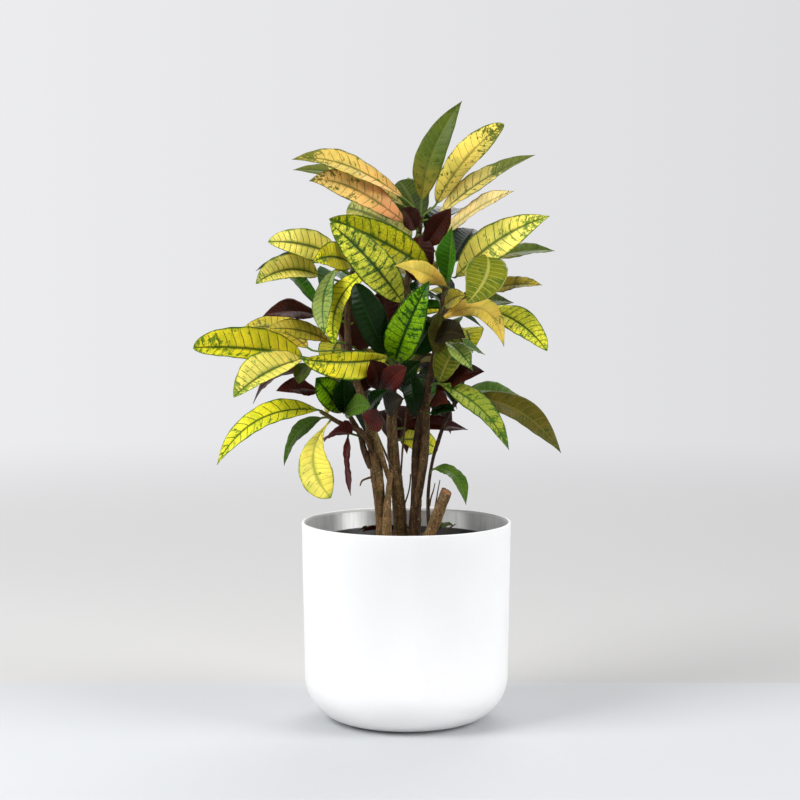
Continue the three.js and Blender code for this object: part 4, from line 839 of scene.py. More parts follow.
def chip_look(nodes, shader):
    """Bark chips: red-brown outside, paler where they split."""
    outside, split, worn = paint(66, 40, 26), paint(128, 88, 56), paint(92, 60, 40)
    place = object_place(nodes)
    grain = nodes.noise(nodes.stretched(place, (1.0, 0.3, 1.0)), 500.0, 4.0)
    color = nodes.mix(nodes.ease(grain, 0.38, 0.62), outside, split)
    color = nodes.mix(nodes.ease(nodes.noise(place, 90.0), 0.5, 0.62), color, worn)
    connect(nodes, shader, grain, 0.7, 0.0008, Base_Color=color, Roughness=0.85)


def nursery_look(nodes, shader):
    """Matt black moulded plastic, dusted with soil."""
    black, soil_dust = paint(25, 25, 26), paint(82, 70, 58)
    place = object_place(nodes)
    grain = nodes.noise(place, 1400.0, 2.0)
    dust = nodes.ease(nodes.noise(place, 45.0, 5.0, 0.6), 0.52, 0.75)
    color = nodes.mix(nodes.times(dust, 0.35), black, soil_dust)
    roughness = nodes.line(dust, 0.3, 0.48)
    connect(nodes, shader, grain, 0.25, 0.0002, Base_Color=color, Roughness=roughness)


def coat_look(nodes, shader):
    """White powder coat with its fine orange peel."""
    place = object_place(nodes)
    peel = nodes.noise(place, 620.0, 2.0)
    tone = nodes.noise(place, 6.0, 2.0)
    color = nodes.mix(nodes.ease(tone, 0.3, 0.7), paint(229, 229, 229), paint(233, 233, 233))
    roughness = nodes.line(nodes.noise(place, 30.0, 3.0), 0.1, 0.4)
    connect(nodes, shader, peel, 0.12, 0.0002, Base_Color=color, Roughness=roughness)


def brushed_look(nodes, shader):
    """Satin bare metal inside the planter, brushed round its axis."""
    line_grey, bright_grey, stain_grey = paint(206, 207, 206), paint(226, 227, 226), paint(186, 187, 186)
    wall = nodes.made("ShaderNodeUVMap", uv_map="wall")
    lines = nodes.noise(nodes.stretched(wall, (160.0, 12.0, 1.0)), 1.0, 3.0, 0.7)
    stains = nodes.noise(nodes.stretched(wall, (30.0, 9.0, 1.0)), 1.0, 4.0)
    color = nodes.mix(nodes.ease(lines, 0.3, 0.7), line_grey, bright_grey)
    color = nodes.mix(nodes.times(nodes.ease(stains, 0.5, 0.75), 0.15), color, stain_grey)
    roughness = nodes.line(lines, 0.08, 0.46)
    connect(nodes, shader, lines, 0.1, 0.0002, Base_Color=color, Roughness=roughness, Metallic=0.8,
            Anisotropic=0.85, Anisotropic_Rotation=0.25)


def geometry_tree(name, inputs):
    """A new geometry tree with a geometry in and out and the named inputs (name, kind, default)."""
    tree = bpy.data.node_groups.new(name, "GeometryNodeTree")
    tree.interface.new_socket("Geometry", in_out="INPUT", socket_type="NodeSocketGeometry")
    for label, kind, default in inputs:
        socket = tree.interface.new_socket(label, in_out="INPUT", socket_type="NodeSocket" + kind)
        if default is not None:
            socket.default_value = default
    tree.interface.new_socket("Geometry", in_out="OUTPUT", socket_type="NodeSocketGeometry")
    nodes = Nodes(tree)
    return nodes, nodes.add("NodeGroupInput").outputs


def close_tree(nodes, geometry, surface):
    """Ends a tree: its instances are made real and get their material."""
    real = nodes.made("GeometryNodeRealizeInstances", {0: geometry})
    dressed = nodes.made("GeometryNodeSetMaterial", {"Geometry": real, "Material": surface})
    nodes.add("NodeGroupOutput", {0: dressed})
    return nodes.tree


def moved(nodes, geometry, offset):
    """The geometry with each of its points moved by the offset."""
    return nodes.made("GeometryNodeSetPosition", {"Geometry": geometry, "Offset": offset})


def smoothed(nodes, geometry):
    """The geometry with smooth shading."""
    return nodes.made("GeometryNodeSetShadeSmooth", {0: geometry})


def grown(piece, tree, values):
    """Runs a tree on the piece with these inputs and keeps the result as the piece's plain mesh."""
    modifier = piece.modifiers.new(tree.name, "NODES")
    modifier.node_group = tree
    for item in tree.interface.items_tree:
        if item.in_out == "INPUT" and item.name in values:
            modifier[item.identifier] = values[item.name]
    depsgraph = bpy.context.evaluated_depsgraph_get()
    evaluated = piece.evaluated_get(depsgraph)
    mesh = bpy.data.meshes.new_from_object(evaluated, preserve_all_data_layers=True, depsgraph=depsgraph)
    piece.modifiers.remove(modifier)
    if not mesh.polygons:
        raise RuntimeError(f"{tree.name} gave no faces for {piece.name}")
    mesh.name = piece.name
    piece.data = mesh
    return piece


def leaf_relief_tree():
    """Raises the blade between its side veins, along the blade's own facing."""
    nodes, given = geometry_tree("leaf relief", (
        ("Quilt Depth", "Float", 0.0007), ("Material", "Material", None),
    ))
    beat = nodes.times(nodes.field("rows"), TURN)
    swell = nodes.line(nodes.math("COSINE", beat), -0.5, 0.5)
    lift = nodes.times(swell, nodes.field("quilt"), given["Quilt Depth"])
    offset = nodes.scaled(nodes.field("face", "FLOAT_VECTOR"), lift)
    raised = moved(nodes, given["Geometry"], offset)
    return close_tree(nodes, smoothed(nodes, raised), given["Material"])


def cane_tree():
    """Grows barked canes along drawn lines, with leaf scars in a spiral round each of them."""
    nodes, given = geometry_tree("barked canes", (
        ("Sides", "Int", 24), ("Bark Depth", "Float", 0.0009), ("Ring Spacing", "Float", 0.009),
        ("Scar Spacing", "Float", 0.007), ("Scar Size", "Float", 0.34), ("Seed", "Int", 7),
        ("Material", "Material", None),
    ))
    line = nodes.made("GeometryNodeMeshToCurve", {0: given["Geometry"]})
    circle = nodes.made("GeometryNodeCurvePrimitiveCircle", {"Resolution": given["Sides"], "Radius": 1.0})
    radius = nodes.field("thickness")
    tube = nodes.made("GeometryNodeCurveToMesh", {
        "Curve": line, "Profile Curve": circle, "Scale": radius, "Fill Caps": True,
    })
    place = nodes.made("GeometryNodeInputPosition")
    long = nodes.stretched(place, (1.0, 1.0, 0.2))
    cracks = nodes.math("SUBTRACT", nodes.noise(long, 300.0, 3.0, 0.6), 0.5)
    lumps = nodes.math("SUBTRACT", nodes.noise(place, 60.0, 2.0), 0.5)
    beat = nodes.math("DIVIDE", nodes.field("run"), given["Ring Spacing"])
    beat = nodes.math("FRACT", nodes.plus(beat, nodes.times(lumps, 2.4)))
    ring = nodes.ease(nodes.math("ABSOLUTE", nodes.math("SUBTRACT", beat, 0.5)), 0.36, 0.5)
    relief = nodes.plus(nodes.times(cracks, 1.5), nodes.times(lumps, 2.2))
    relief = nodes.line(ring, 0.3, relief)
    share = nodes.math("MINIMUM", nodes.times(radius, 150.0), 1.0)
    relief = nodes.times(relief, given["Bark Depth"], share)
    tube = moved(nodes, tube, nodes.scaled(nodes.made("GeometryNodeInputNormal"), relief))

    spots = nodes.add("GeometryNodeCurveToPoints", {
        "Curve": line, "Length": given["Scar Spacing"],
    }, mode="LENGTH").outputs
    spoke = nodes.made("ShaderNodeVectorRotate", {
        "Vector": spots["Normal"], "Axis": spots["Tangent"],
        "Angle": nodes.times(nodes.made("GeometryNodeInputIndex"), GOLDEN_ANGLE),
    })
    points = moved(nodes, spots["Points"], nodes.scaled(spoke, nodes.times(radius, 0.99)))
    turn = nodes.made("FunctionNodeAlignRotationToVector", {"Vector": spoke}, axis="Z")
    turn = nodes.made("FunctionNodeAlignRotationToVector", {
        "Rotation": turn, "Vector": spots["Tangent"],
    }, axis="Y", pivot_axis="Z")
    scar = nodes.made("GeometryNodeMeshIcoSphere", {"Radius": 1.0, "Subdivisions": 2})
    scar = nodes.made("GeometryNodeTransform", {"Geometry": scar, "Scale": (1.0, 0.62, 0.22)})
    draw = nodes.add("FunctionNodeRandomValue", {
        2: 0.6, 3: 1.15, "Seed": given["Seed"],
    }, data_type="FLOAT").outputs[1]
    scars = nodes.made("GeometryNodeInstanceOnPoints", {
        "Points": points, "Instance": scar, "Rotation": turn,
        "Scale": nodes.times(radius, given["Scar Size"], draw),
    })
    scars = nodes.made("GeometryNodeStoreNamedAttribute", {
        "Geometry": nodes.made("GeometryNodeRealizeInstances", {0: scars}), "Name": "scar", "Value": 0.8,
    }, data_type="FLOAT")
    both = nodes.add("GeometryNodeJoinGeometry")
    for geometry in (tube, scars):
        nodes.set(both.inputs[0], geometry)
    return close_tree(nodes, smoothed(nodes, both.outputs[0]), given["Material"])


def crumb_tree():
    """Strews crumbs over the upward faces of a surface, each one turned and sized by a seeded draw."""
    nodes, given = geometry_tree("crumbs", (
        ("Density", "Float", 20000.0), ("Smallest", "Float", 0.0008), ("Largest", "Float", 0.0026),
        ("Stretch", "Vector", (1.0, 1.0, 1.0)), ("Seed", "Int", 3), ("Material", "Material", None),
    ))
    upward = nodes.math("GREATER_THAN", nodes.parts(nodes.made("GeometryNodeInputNormal"))[2], 0.6)
    spots = nodes.made("GeometryNodeDistributePointsOnFaces", {
        "Mesh": given["Geometry"], "Selection": upward, "Density": given["Density"], "Seed": given["Seed"],
    }, distribute_method="RANDOM")
    crumb = nodes.made("GeometryNodeMeshIcoSphere", {"Radius": 1.0, "Subdivisions": 1})
    crumb = nodes.made("GeometryNodeTransform", {"Geometry": crumb, "Scale": given["Stretch"]})
    size = nodes.add("FunctionNodeRandomValue", {
        2: given["Smallest"], 3: given["Largest"], "Seed": given["Seed"],
    }, data_type="FLOAT").outputs[1]
    turn = nodes.made("FunctionNodeRandomValue", {
        0: (0.0, 0.0, 0.0), 1: (TURN, TURN, TURN), "Seed": given["Seed"],
    }, data_type="FLOAT_VECTOR")
    crumbs = nodes.made("GeometryNodeInstanceOnPoints", {
        "Points": spots, "Instance": crumb, "Rotation": turn, "Scale": size,
    })
    return close_tree(nodes, crumbs, given["Material"])


def linked(name, data):
    """A new object of the scene, at the origin."""
    piece = bpy.data.objects.new(name, data)
    bpy.context.scene.collection.objects.link(piece)
    return piece


def new_piece(name, vertices, faces, materials=(), smooth=True):
    """A mesh object at the origin, its vertices given in metres."""
    mesh = bpy.data.meshes.new(name)
    mesh.from_pydata([tuple(vertex) for vertex in vertices], [], faces)
    mesh.validate()
    for surface in materials:
        mesh.materials.append(surface)
    if smooth:
        mesh.shade_smooth()
    else:
        mesh.shade_flat()
    return linked(name, mesh)


def store(mesh, name, kind, values):
    """Writes an attribute of one value, vector or colour for each vertex."""
    key = {"FLOAT": "value", "FLOAT_VECTOR": "vector", "FLOAT_COLOR": "color"}[kind]
    attribute = mesh.attributes.new(name, kind, "POINT")
    attribute.data.foreach_set(key, np.asarray(values, np.float32).ravel())


def store_map(mesh, name, places):
    """Writes a UV map from a place for each vertex, or for each corner of a face."""
    layer = mesh.uv_layers.new(name=name)
    places = np.asarray(places, np.float32)
    if len(places) != len(mesh.loops):
        corners = np.empty(len(mesh.loops), np.int64)
        mesh.loops.foreach_get("vertex_index", corners)
        places = places[corners]
    layer.data.foreach_set("uv", places.ravel())


def ring_faces(rows, count, first=0):
    """Faces between successive closed rings of vertices."""
    return [
        (first + i * count + k, first + i * count + (k + 1) % count,
         first + (i + 1) * count + (k + 1) % count, first + (i + 1) * count + k)
        for i in range(rows - 1) for k in range(count)
    ]


def end_caps(start, end, last, sides, flip=False):
    """Faces from the two end points to the first and the last ring of a body, turned over by flip."""
    faces = []
    for k in range(sides):
        before, after = (k + 1) % sides, k
        if flip:
            before, after = after, before
        faces.append((start, before, after))
        faces.append((end, last + after, last + before))
    return faces


def circle(radius, height, sides):
    """Points round the planter's axis, in metres, from a radius and a height in millimetres."""
    angles = [TURN * k / sides for k in range(sides)]
    return [(radius * MM * math.cos(angle), radius * MM * math.sin(angle), height * MM) for angle in angles]


def outward(piece):
    """Turns all faces of a closed piece outwards."""
    shape = bmesh.new()
    shape.from_mesh(piece.data)
    bmesh.ops.recalc_face_normals(shape, faces=shape.faces)
    shape.to_mesh(piece.data)
    shape.free()
    return piece


def dress(piece, slot, *nodes):
    """Makes a piece ride with the plant and hides the solids that it stands for. Its slot, the finish, is
    not used.
    """
    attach(piece, "root")
    if nodes:
        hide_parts(*nodes)


def lathe(name, profile, sides, materials):
    """A closed body turned about the planter's axis from a profile of (radius, height) that starts
    and ends on the axis, in millimetres. Its wall map holds turns round and metres along."""
    vertices, run = [], [0.0]
    for before, after in zip(profile, profile[1:]):
        run.append(run[-1] + math.dist(before, after) * MM)
    inner = profile[1:-1]
    for radius, height in inner:
        vertices += circle(radius, height, sides)
    start, end = len(vertices), len(vertices) + 1
    vertices += [(0, 0, profile[0][1] * MM), (0, 0, profile[-1][1] * MM)]
    faces = ring_faces(len(inner), sides) + end_caps(start, end, (len(inner) - 1) * sides, sides)
    piece = new_piece(name, vertices, faces, materials)
    places = []
    for polygon in piece.data.polygons:
        numbers = [number for number in polygon.vertices if number < start]
        seam = {number % sides for number in numbers} >= {0, sides - 1}
        for number in polygon.vertices:
            if number >= start:
                places.append((0.5, run[0] if number == start else run[-1]))
            else:
                k = number % sides
                places.append(((sides if seam and k == 0 else k) / sides, run[1 + number // sides]))
    store_map(piece.data, "wall", places)
    return piece


def arc(radius, height, size, start, end, steps):
    """Points of a round from one angle to another, in degrees, about a centre of the profile."""
    points = []
    for i in range(steps + 1):
        angle = math.radians(start + (end - start) * i / steps)
        points.append((radius + size * math.cos(angle), height + size * math.sin(angle)))
    return points


def make_planter(settings):
    """White coated planter with a rounded foot and a softly rolled rim, bare metal inside."""
    rim, side, height, fillet, wall, roll = (
        PLANTER[key] for key in ("rim", "side", "height", "fillet", "wall", "round")
    )
    centre, inner, steps = side - fillet, rim - wall, settings.foot_steps
    outside = arc(centre, fillet, fillet, -90, 0, steps)
    flank = [
        (side + (rim - side) * i / SIDE_STEPS, fillet + (height - roll - fillet) * i / SIDE_STEPS)
        for i in range(1, SIDE_STEPS + 1)
    ]
    top = arc(rim - roll, height - roll, roll, 0, 90, RIM_STEPS)[1:]
    top += arc(inner + roll, height - roll, roll, 90, 180, RIM_STEPS)
    lining = [(inner - inset, height - depth) for inset, depth in LINING]
    lining += arc(centre, fillet, fillet - wall, 0, -90, steps)
    bottom = [(centre / 2, wall), (0, wall)]
    profile = [(0, 0), (centre / 2, 0)] + outside + flank + top + lining + bottom
    coat = material("white powder coat", coat_look)
    metal = material("brushed metal lining", brushed_look)
    piece = lathe("planter", profile, settings.sides, (coat, metal))
    first_bare = len(profile) - 1 - len(bottom) - len(lining)
    for polygon in piece.data.polygons:
        rings = [number // settings.sides for number in polygon.vertices]
        polygon.material_index = int(min(rings) >= first_bare)
    outward(piece)
    dress(piece, "planter_shell", "pot")


def make_nursery_pot(settings):
    """Black nursery pot with a rolled lip, ribs round its wall and holes in its foot."""
    floor = PLANTER["wall"] + POT_DETAIL["gap"]
    foot, corner, top, lip, height, wall = (
        NURSERY[key] for key in ("foot", "bevel", "top", "lip", "height", "wall")
    )
    bevel, roll, bands = (POT_DETAIL[key] for key in ("bevel", "roll", "bands"))
    groove, half, steps = (POT_DETAIL[key] for key in ("groove", "rib_half", "roll_steps"))
    under = height - POT_DETAIL["collar"]
    flank = []
    for i in range(1, bands):
        share = i / bands
        radius = corner + (top - roll - corner) * share
        level = floor + bevel + (under - floor - bevel) * share
        rib = 0 if i % POT_DETAIL["rib_every"] else POT_DETAIL["rib"]
        flank += [(radius - groove, level - half), (radius + rib, level), (radius, level + half)]
    profile = [(0, floor), (foot, floor), (corner, floor + bevel)] + flank
    profile += [(top - roll, under), (lip - roll, under + roll), (lip, under + 2 * roll)]
    profile += arc(lip - roll, height - roll, roll, 0, 90, steps)
    profile += arc(top + roll, height - roll, roll, 90, 180, steps)
    profile += [(top - wall - roll, under), (corner - wall, floor + bevel + roll)]
    profile += [(foot - roll, floor + wall), (0, floor + wall)]
    plastic = material("black nursery plastic", nursery_look)
    piece = outward(lathe("nursery_pot_shell", profile, settings.sides, (plastic,)))
    drill_holes(piece, circle(POT_DETAIL["hole_ring"], floor, POT_DETAIL["holes"]))
    dress(piece, "nursery_plastic", "nursery_pot")


def drill_holes(piece, places):
    """Cuts an upright round hole through the piece at each place."""
    size = POT_DETAIL["hole"] * MM
    cutter = bmesh.new()
    for place in places:
        bmesh.ops.create_cone(
            cutter, cap_ends=True, segments=POT_DETAIL["hole_sides"], radius1=size, radius2=size,
            depth=POT_DETAIL["hole_depth"] * MM, matrix=Matrix.Translation(place),
        )
    mesh = bpy.data.meshes.new("drain holes")
    cutter.to_mesh(mesh)
    cutter.free()
    holes = linked("drain_holes", mesh)
    cut = piece.modifiers.new("drain", "BOOLEAN")
    cut.object = holes
    cut.solver = "EXACT"
    depsgraph = bpy.context.evaluated_depsgraph_get()
    result = bpy.data.meshes.new_from_object(piece.evaluated_get(depsgraph))
    piece.modifiers.remove(cut)
    piece.data = result
    bpy.data.objects.remove(holes)


def make_soil(settings):
    """Damp soil, heaped a little at the canes, with crumbs, fibres and bark chips on it."""
    detail, top = SOIL_DETAIL, SOIL["top"]
    rings, sides, kept = detail["rings"], detail["sides"], detail["kept"]
    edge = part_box("soil")[1][0] / MM - detail["gap"]
    vertices = []
    for i in range(1, rings + 1):
        radius = edge * i / rings
        for k in range(sides):
            angle = TURN * k / sides
            x, y = radius * math.cos(angle), radius * math.sin(angle)
            dome = SOIL["mound"] * (1 - (radius / edge) ** 2)
            rough = sum(
                size * noise.noise(Vector((x * scale, y * scale, LUMP_LEVEL))) for size, scale in SOIL_LUMPS
            )
            fall = -detail["edge_fall"] * float(ease(radius, edge - detail["edge"], edge))
            level = top - detail["sunk"] + dome * kept + rough * kept + fall
            vertices.append((x * MM, y * MM, level * MM))
    faces = ring_faces(rings, sides)
    for radius, level in (
        (edge - detail["side_gap"], top - detail["side_drop"]),
        (NURSERY["bevel"] - detail["bevel_gap"], detail["bevel"]),
        (NURSERY["foot"] - detail["foot_gap"], detail["under"]),
    ):
        faces += ring_faces(2, sides, len(vertices) - sides)
        vertices += circle(radius, level, sides)
    last = len(vertices) - sides
    vertices += [(0, 0, (top + SOIL["mound"] - detail["middle"]) * MM), (0, 0, detail["under"] * MM)]
    faces += end_caps(len(vertices) - 2, len(vertices) - 1, last, sides, flip=True)
    earth = material("potting soil", soil_look)
    bark = material("bark chips", chip_look)
    piece = outward(new_piece("soil_bed", vertices, faces, (earth,)))
    dress(piece, "potting_soil", "soil")
    tree = crumb_tree()
    for name, (density, smallest, largest, stretch, seed) in STREWN.items():
        strewn = linked(name, piece.data)
        grown(strewn, tree, {
            "Density": getattr(settings, density), "Smallest": smallest, "Largest": largest,
            "Stretch": stretch, "Seed": seed, "Material": earth if density == "crumbs" else bark,
        })
        strewn.data.shade_flat()
        dress(strewn, "potting_soil", "soil")


def cane_line(places):
    """A cane's centre line with its radius, its run from the root end and how young it is there."""
    points = [seen(*place[:3]) for place in places]
    reach = sum((b - a).length for a, b in zip(points, points[1:]))
    steps = max(int(reach / LINE_STEP), LEAST_STEPS)
    line, radii, run = [], [], [0.0]
    thickness = [place[3] for place in places]
    for i in range(steps + 1):
        t = i / steps
        line.append(curve_point(points, t))
        radii.append(np.interp(t * (len(places) - 1), range(len(places)), thickness))
        if i:
            run.append(run[-1] + (line[-1] - line[-2]).length)
    return line, np.array(radii), np.array(run)


def drawn_lines(name, lines):
    """One mesh of the centre lines of canes, each given as its places, whether its thin end is green
    and how dark its bark is."""
    vertices, edges = [], []
    values = {"thickness": [], "run": [], "young": [], "shade": []}
    for places, greening, shade in lines:
        line, radii, lengths = cane_line(places)
        first = len(vertices)
        vertices += [tuple(point * MM) for point in line]
        edges += [(first + i, first + i + 1) for i in range(len(line) - 1)]
        values["thickness"] += list(radii * MM)
        values["run"] += list(lengths * MM)
        values["young"] += list(GREEN_SHARE * greening * (1 - ease(radii, *GREEN_RADII)))
        values["shade"] += [shade] * len(line)
    mesh = bpy.data.meshes.new(name)
    mesh.from_pydata(vertices, edges, [])
    for label, parts in values.items():
        store(mesh, label, "FLOAT", parts)
    return mesh


def make_canes(settings):
    """Woody canes of each plant, forked, cracked and scarred where old leaves fell."""
    tree = cane_tree()
    bark = material("croton bark", bark_look)
    for node in LEAFY_NODES:
        lines = [
            (places, name not in WOODY_CANES, DARK_CANES.get(name, 0.0))
            for name, (owner, *places) in STEMS.items() if owner == node
        ]
        name = node.replace("cane", "canes")
        piece = linked(name, drawn_lines(name, lines))
        grown(piece, tree, {
            "Sides": settings.sides, "Bark Depth": settings.bark_depth, "Material": bark,
            "Ring Spacing": settings.ring_spacing, "Scar Spacing": settings.scar_spacing,
        })
        dress(piece, "bark", node)


def make_stub(settings):
    """Sawn-off cane that leans out of the soil, cut aslant, with its weathered end grain."""
    line, radii, run = cane_line(STEMS["F"][1:])
    sides = settings.sides * 2
    end = line[-1]
    along = (end - line[-2]).normalized()
    side = TO_VIEWER.cross(along).normalized()
    front = along.cross(side)
    spokes = [side * math.cos(TURN * k / sides) + front * math.sin(TURN * k / sides) for k in range(sides)]

    def slant(offset):
        return CUT_LEAN[0] * offset.dot(side) + CUT_LEAN[1] * offset.dot(front)

    vertices, places = [], []
    for point, radius, reach in zip(line, radii, run):
        near = float(ease(reach, run[-1] - CUT_REACH, run[-1]))
        for spoke in spokes:
            spot = point + spoke * radius
            grain = Vector((spot.x * RIDGE_ROUND, spot.y * RIDGE_ROUND, spot.z * RIDGE_ALONG))
            rough = RIDGE_HEIGHT * noise.noise(grain) + LUMP_HEIGHT * noise.noise(spot * LUMP_FINENESS)
            offset = spoke * (radius - BARK_INSET + rough)
            vertices.append((point + offset + along * near * slant(offset)) * MM)
            places.append((spoke.dot(side), spoke.dot(front)))
    for share in FACE_RINGS:
        for spoke in spokes:
            offset = spoke * (radii[-1] - FACE_INSET) * share
            torn = sum(size * noise.noise((end + offset) * scale) for size, scale in TORN_WOOD) - FACE_INSET
            vertices.append((end + offset + along * (torn + slant(offset))) * MM)
            places.append((share * spoke.dot(side), share * spoke.dot(front)))
    vertices += [(end - along * BARK_INSET) * MM, line[0] * MM]
    places += [(0.0, 0.0), (0.0, 0.0)]
    rows = len(line) + len(FACE_RINGS)
    faces = ring_faces(rows, sides)
    faces += end_caps(len(vertices) - 1, len(vertices) - 2, (rows - 1) * sides, sides)
    bark = material("stub bark", bark_look)
    wood = material("sawn end grain", cut_wood_look)
    piece = new_piece("sawn_stub", vertices, faces, (bark, wood))
    store_map(piece.data, "face", places)
    store(piece.data, "shade", "FLOAT", [STUB_SHADE] * len(vertices))
    for polygon in piece.data.polygons:
        polygon.material_index = int(min(polygon.vertices) // sides >= len(line) - 1)
    outward(piece)
    dress(piece, "bark", "cut_stub")


def breadth(outline, t):
    """Half-width of a blade at each place, as a share of its greatest half-width."""
    widen, narrow = outline
    peak = widen / (widen + narrow)
    t = np.clip(t, OUTLINE_END, 1 - OUTLINE_END)
    return (t / peak) ** widen * ((1 - t) / (1 - peak)) ** narrow


def mirrored(grid):
    """Rows of values of a blade's upper side, followed by the same ones for its under side."""
    return np.concatenate([grid, grid[:, ::-1]], axis=1)


def petiole_line(leaf, heading):
    """Points and thickness of a petiole, curved from its root on the cane to the blade's base."""
    root, base = np.array(leaf.root), np.array(leaf.base)
    reach = np.linalg.norm(base - root)
    start = (base - root) / reach + np.array((0, 0, PETIOLE_RISE))
    u = np.arange(PETIOLE_STEPS)[:, None] / PETIOLE_STEPS
    line = (
        root * (1 - u) ** 3 + (root + start * reach * PETIOLE_KEEP) * 3 * u * (1 - u) ** 2
        + (base - heading * reach * PETIOLE_KEEP) * 3 * u * u * (1 - u) + base * u ** 3
    )
    return line, 1 + PETIOLE_SWELL * (1 - ease(u[:, 0], 0, PETIOLE_SWELL))


def blade_grid(leaf, settings):
    """One leaf, a petiole that opens into a thin veined blade: its points, the number of its rings, the
    points of a ring, its surface values, and the places of its points on the blade."""
    columns = np.concatenate([-np.array(COLUMNS[::-1]), [0], COLUMNS])
    count = len(columns)
    middle, size = count // 2, 2 * count
    steps = ROWS_PER_VEIN * settings.vein_pairs
    rows = np.concatenate([BASE_PLACES, np.arange(1, steps + 1) / steps])
    t, s = np.meshgrid(rows, columns, indexing="ij")
    lean = settings.vein_lean * np.abs(s) ** VEIN_CURVE * t * (1 - t)
    seat = np.clip(t + lean, 0, 1).ravel()
    s, t = s.ravel(), t.ravel()
    aside = np.abs(s)
    centre, along, face, side = leaf.frames(seat)
    rise = breadth(leaf.outline, seat)
    swing = sum(
        np.sin(TURN * turns * seat + leaf.phase * pace + lag * np.sign(s)) * share
        for turns, pace, lag, share in EDGE_SWINGS
    )
    half = leaf.width / 2 * rise * (1 + swing * ease(seat, 0, EDGE_START))
    half = np.maximum(half, np.where(seat < 0.5, PETIOLE / 2, TIP_HALF_WIDTH))
    fold = math.radians(leaf.fold)
    phase = TURN * WAVE_TURNS * seat + leaf.phase
    wave = WAVE_HEIGHT * rise * np.sin(phase + np.where(s > 0, WAVE_LAG, 0)) * s * s
    phase = TURN * RIPPLE_TURNS * seat + leaf.phase * RIPPLE_PACE + np.sign(s)
    ripple = RIPPLE_HEIGHT * rise * np.sin(phase) * aside ** 3
    raised = half * math.sin(fold) * aside + wave + ripple
    spot = centre + side * (half * math.cos(fold) * s)[:, None] + face * raised[:, None]

    thin = settings.thickness / MM / 2 * (1 - EDGE_THINNING * s ** 4) * (1 - TIP_THINNING * seat)
    ridge = np.exp(-((s * half / RIB_HALF_WIDTH) ** 2)) * (1 - seat) ** RIB_FADE
    stalk = 1 - ease(seat, 0, STALK_REACH)
    bow = np.sqrt(np.clip(1 - (s * STALK_ROUND) ** 2, 0, 1)) * PETIOLE / 2
    upper = (thin - RIB_GROOVE * ridge) * (1 - stalk) + bow * STALK_TOP * stalk
    lower = (thin + RIB_RISE * ridge) * (1 - stalk) + bow * stalk
    top = (spot + face * upper[:, None]).reshape(-1, count, 3)
    under = (spot - face * lower[:, None]).reshape(-1, count, 3)[:, ::-1]
    blade = np.concatenate([top, under], axis=1)
    line, girth = petiole_line(leaf, along[middle])
    petiole = line[:, None] + (blade[0] - centre[middle]) * girth[:, None, None]
    rings = np.concatenate([petiole, blade])

    def whole(early, values):
        """A value for each point: one number on the petiole, then the blade's values on both sides."""
        return np.concatenate([np.full((PETIOLE_STEPS, size), early), mirrored(values.reshape(-1, count))])

    beat = t * settings.vein_pairs + np.where(s > 0, VEIN_STAGGER, 0)
    quilt = ease(aside, *QUILT_START) * (1 - ease(aside, *QUILT_END)) * np.sqrt(np.sin(math.pi * seat))
    facing = mirrored(face.reshape(-1, count, 3))
    marks = {
        "rows": whole(0.0, beat),
        "quilt": whole(0.0, quilt * leaf.relief),
        "stalk": whole(1.0, stalk),
        "under": np.tile(np.repeat([0.0, 1.0], count), (len(rings), 1)),
        "face": np.concatenate([np.tile(facing[:1], (PETIOLE_STEPS, 1, 1)), facing]),
    }
    places = np.stack([whole(0.5, (s + 1) / 2).ravel(), whole(0.0, seat).ravel()], axis=1)
    return rings.reshape(-1, 3), len(rings), size, marks, places


def leaf_cluster(name, leaves, settings):
    """One mesh of many leaves with the surface values that their material and relief read."""
    points, faces, maps = [], [], []
    values = {key: [] for key in ("rows", "quilt", "stalk", "under", "face")}
    colors = {key: [] for key in ("main", "second", "vein", "flush", "marks")}
    first = 0
    for leaf in leaves:
        spots, rows, size, marks, places = blade_grid(leaf, settings)
        points.append(spots)
        maps.append(places)
        faces += ring_faces(rows, size, first)
        faces.append(tuple(first + k for k in reversed(range(size))))
        faces.append(tuple(first + (rows - 1) * size + k for k in range(size)))
        for key, parts in values.items():
            parts.append(marks[key].reshape(len(spots), -1))
        look = leaf_kind(*KINDS[leaf.kind])
        draw = chance(leaf.order + PATTERN_DRAW)
        tone = DARKEST_TONE + TONE_SPREAD * chance(leaf.order + TONE_DRAW)
        blotch = look["blotch"] + BLOTCH_SPREAD * (draw - 0.5)
        each = {"marks": (blotch, look["tip"], look["net"], look["veins"])}
        alphas = {"main": draw, "second": look["gloss"], "vein": 1.0, "flush": look["flush_share"]}
        for key, alpha in alphas.items():
            each[key] = (*(channel * tone for channel in paint(*look[key])[:3]), alpha)
        for key, color in each.items():
            colors[key].append(np.tile(color, (len(spots), 1)))
        first += len(spots)
    piece = new_piece(name, np.concatenate(points) * MM, faces)
    for key, parts in values.items():
        store(piece.data, key, "FLOAT_VECTOR" if key == "face" else "FLOAT", np.concatenate(parts))
    for key, parts in colors.items():
        store(piece.data, key, "FLOAT_COLOR", np.concatenate(parts))
    store_map(piece.data, "blade", np.concatenate(maps))
    return outward(piece)


def make_leaves(settings):
    """All leaves of each plant, in one piece for each plant."""
    tree = leaf_relief_tree()
    wax = material("croton leaf", leaf_look)
    leaves = placed_leaves()
    if len(leaves) < LEAST_LEAVES:
        raise RuntimeError(f"only {len(leaves)} leaves were found in the solids")
    for node in LEAFY_NODES:
        own = [leaf for leaf in leaves if leaf.node == node]
        piece = leaf_cluster(node.replace("cane", "leaves"), own, settings)
        grown(piece, tree, {"Quilt Depth": settings.quilt_depth, "Material": wax})
        dress(piece, "foliage", node)


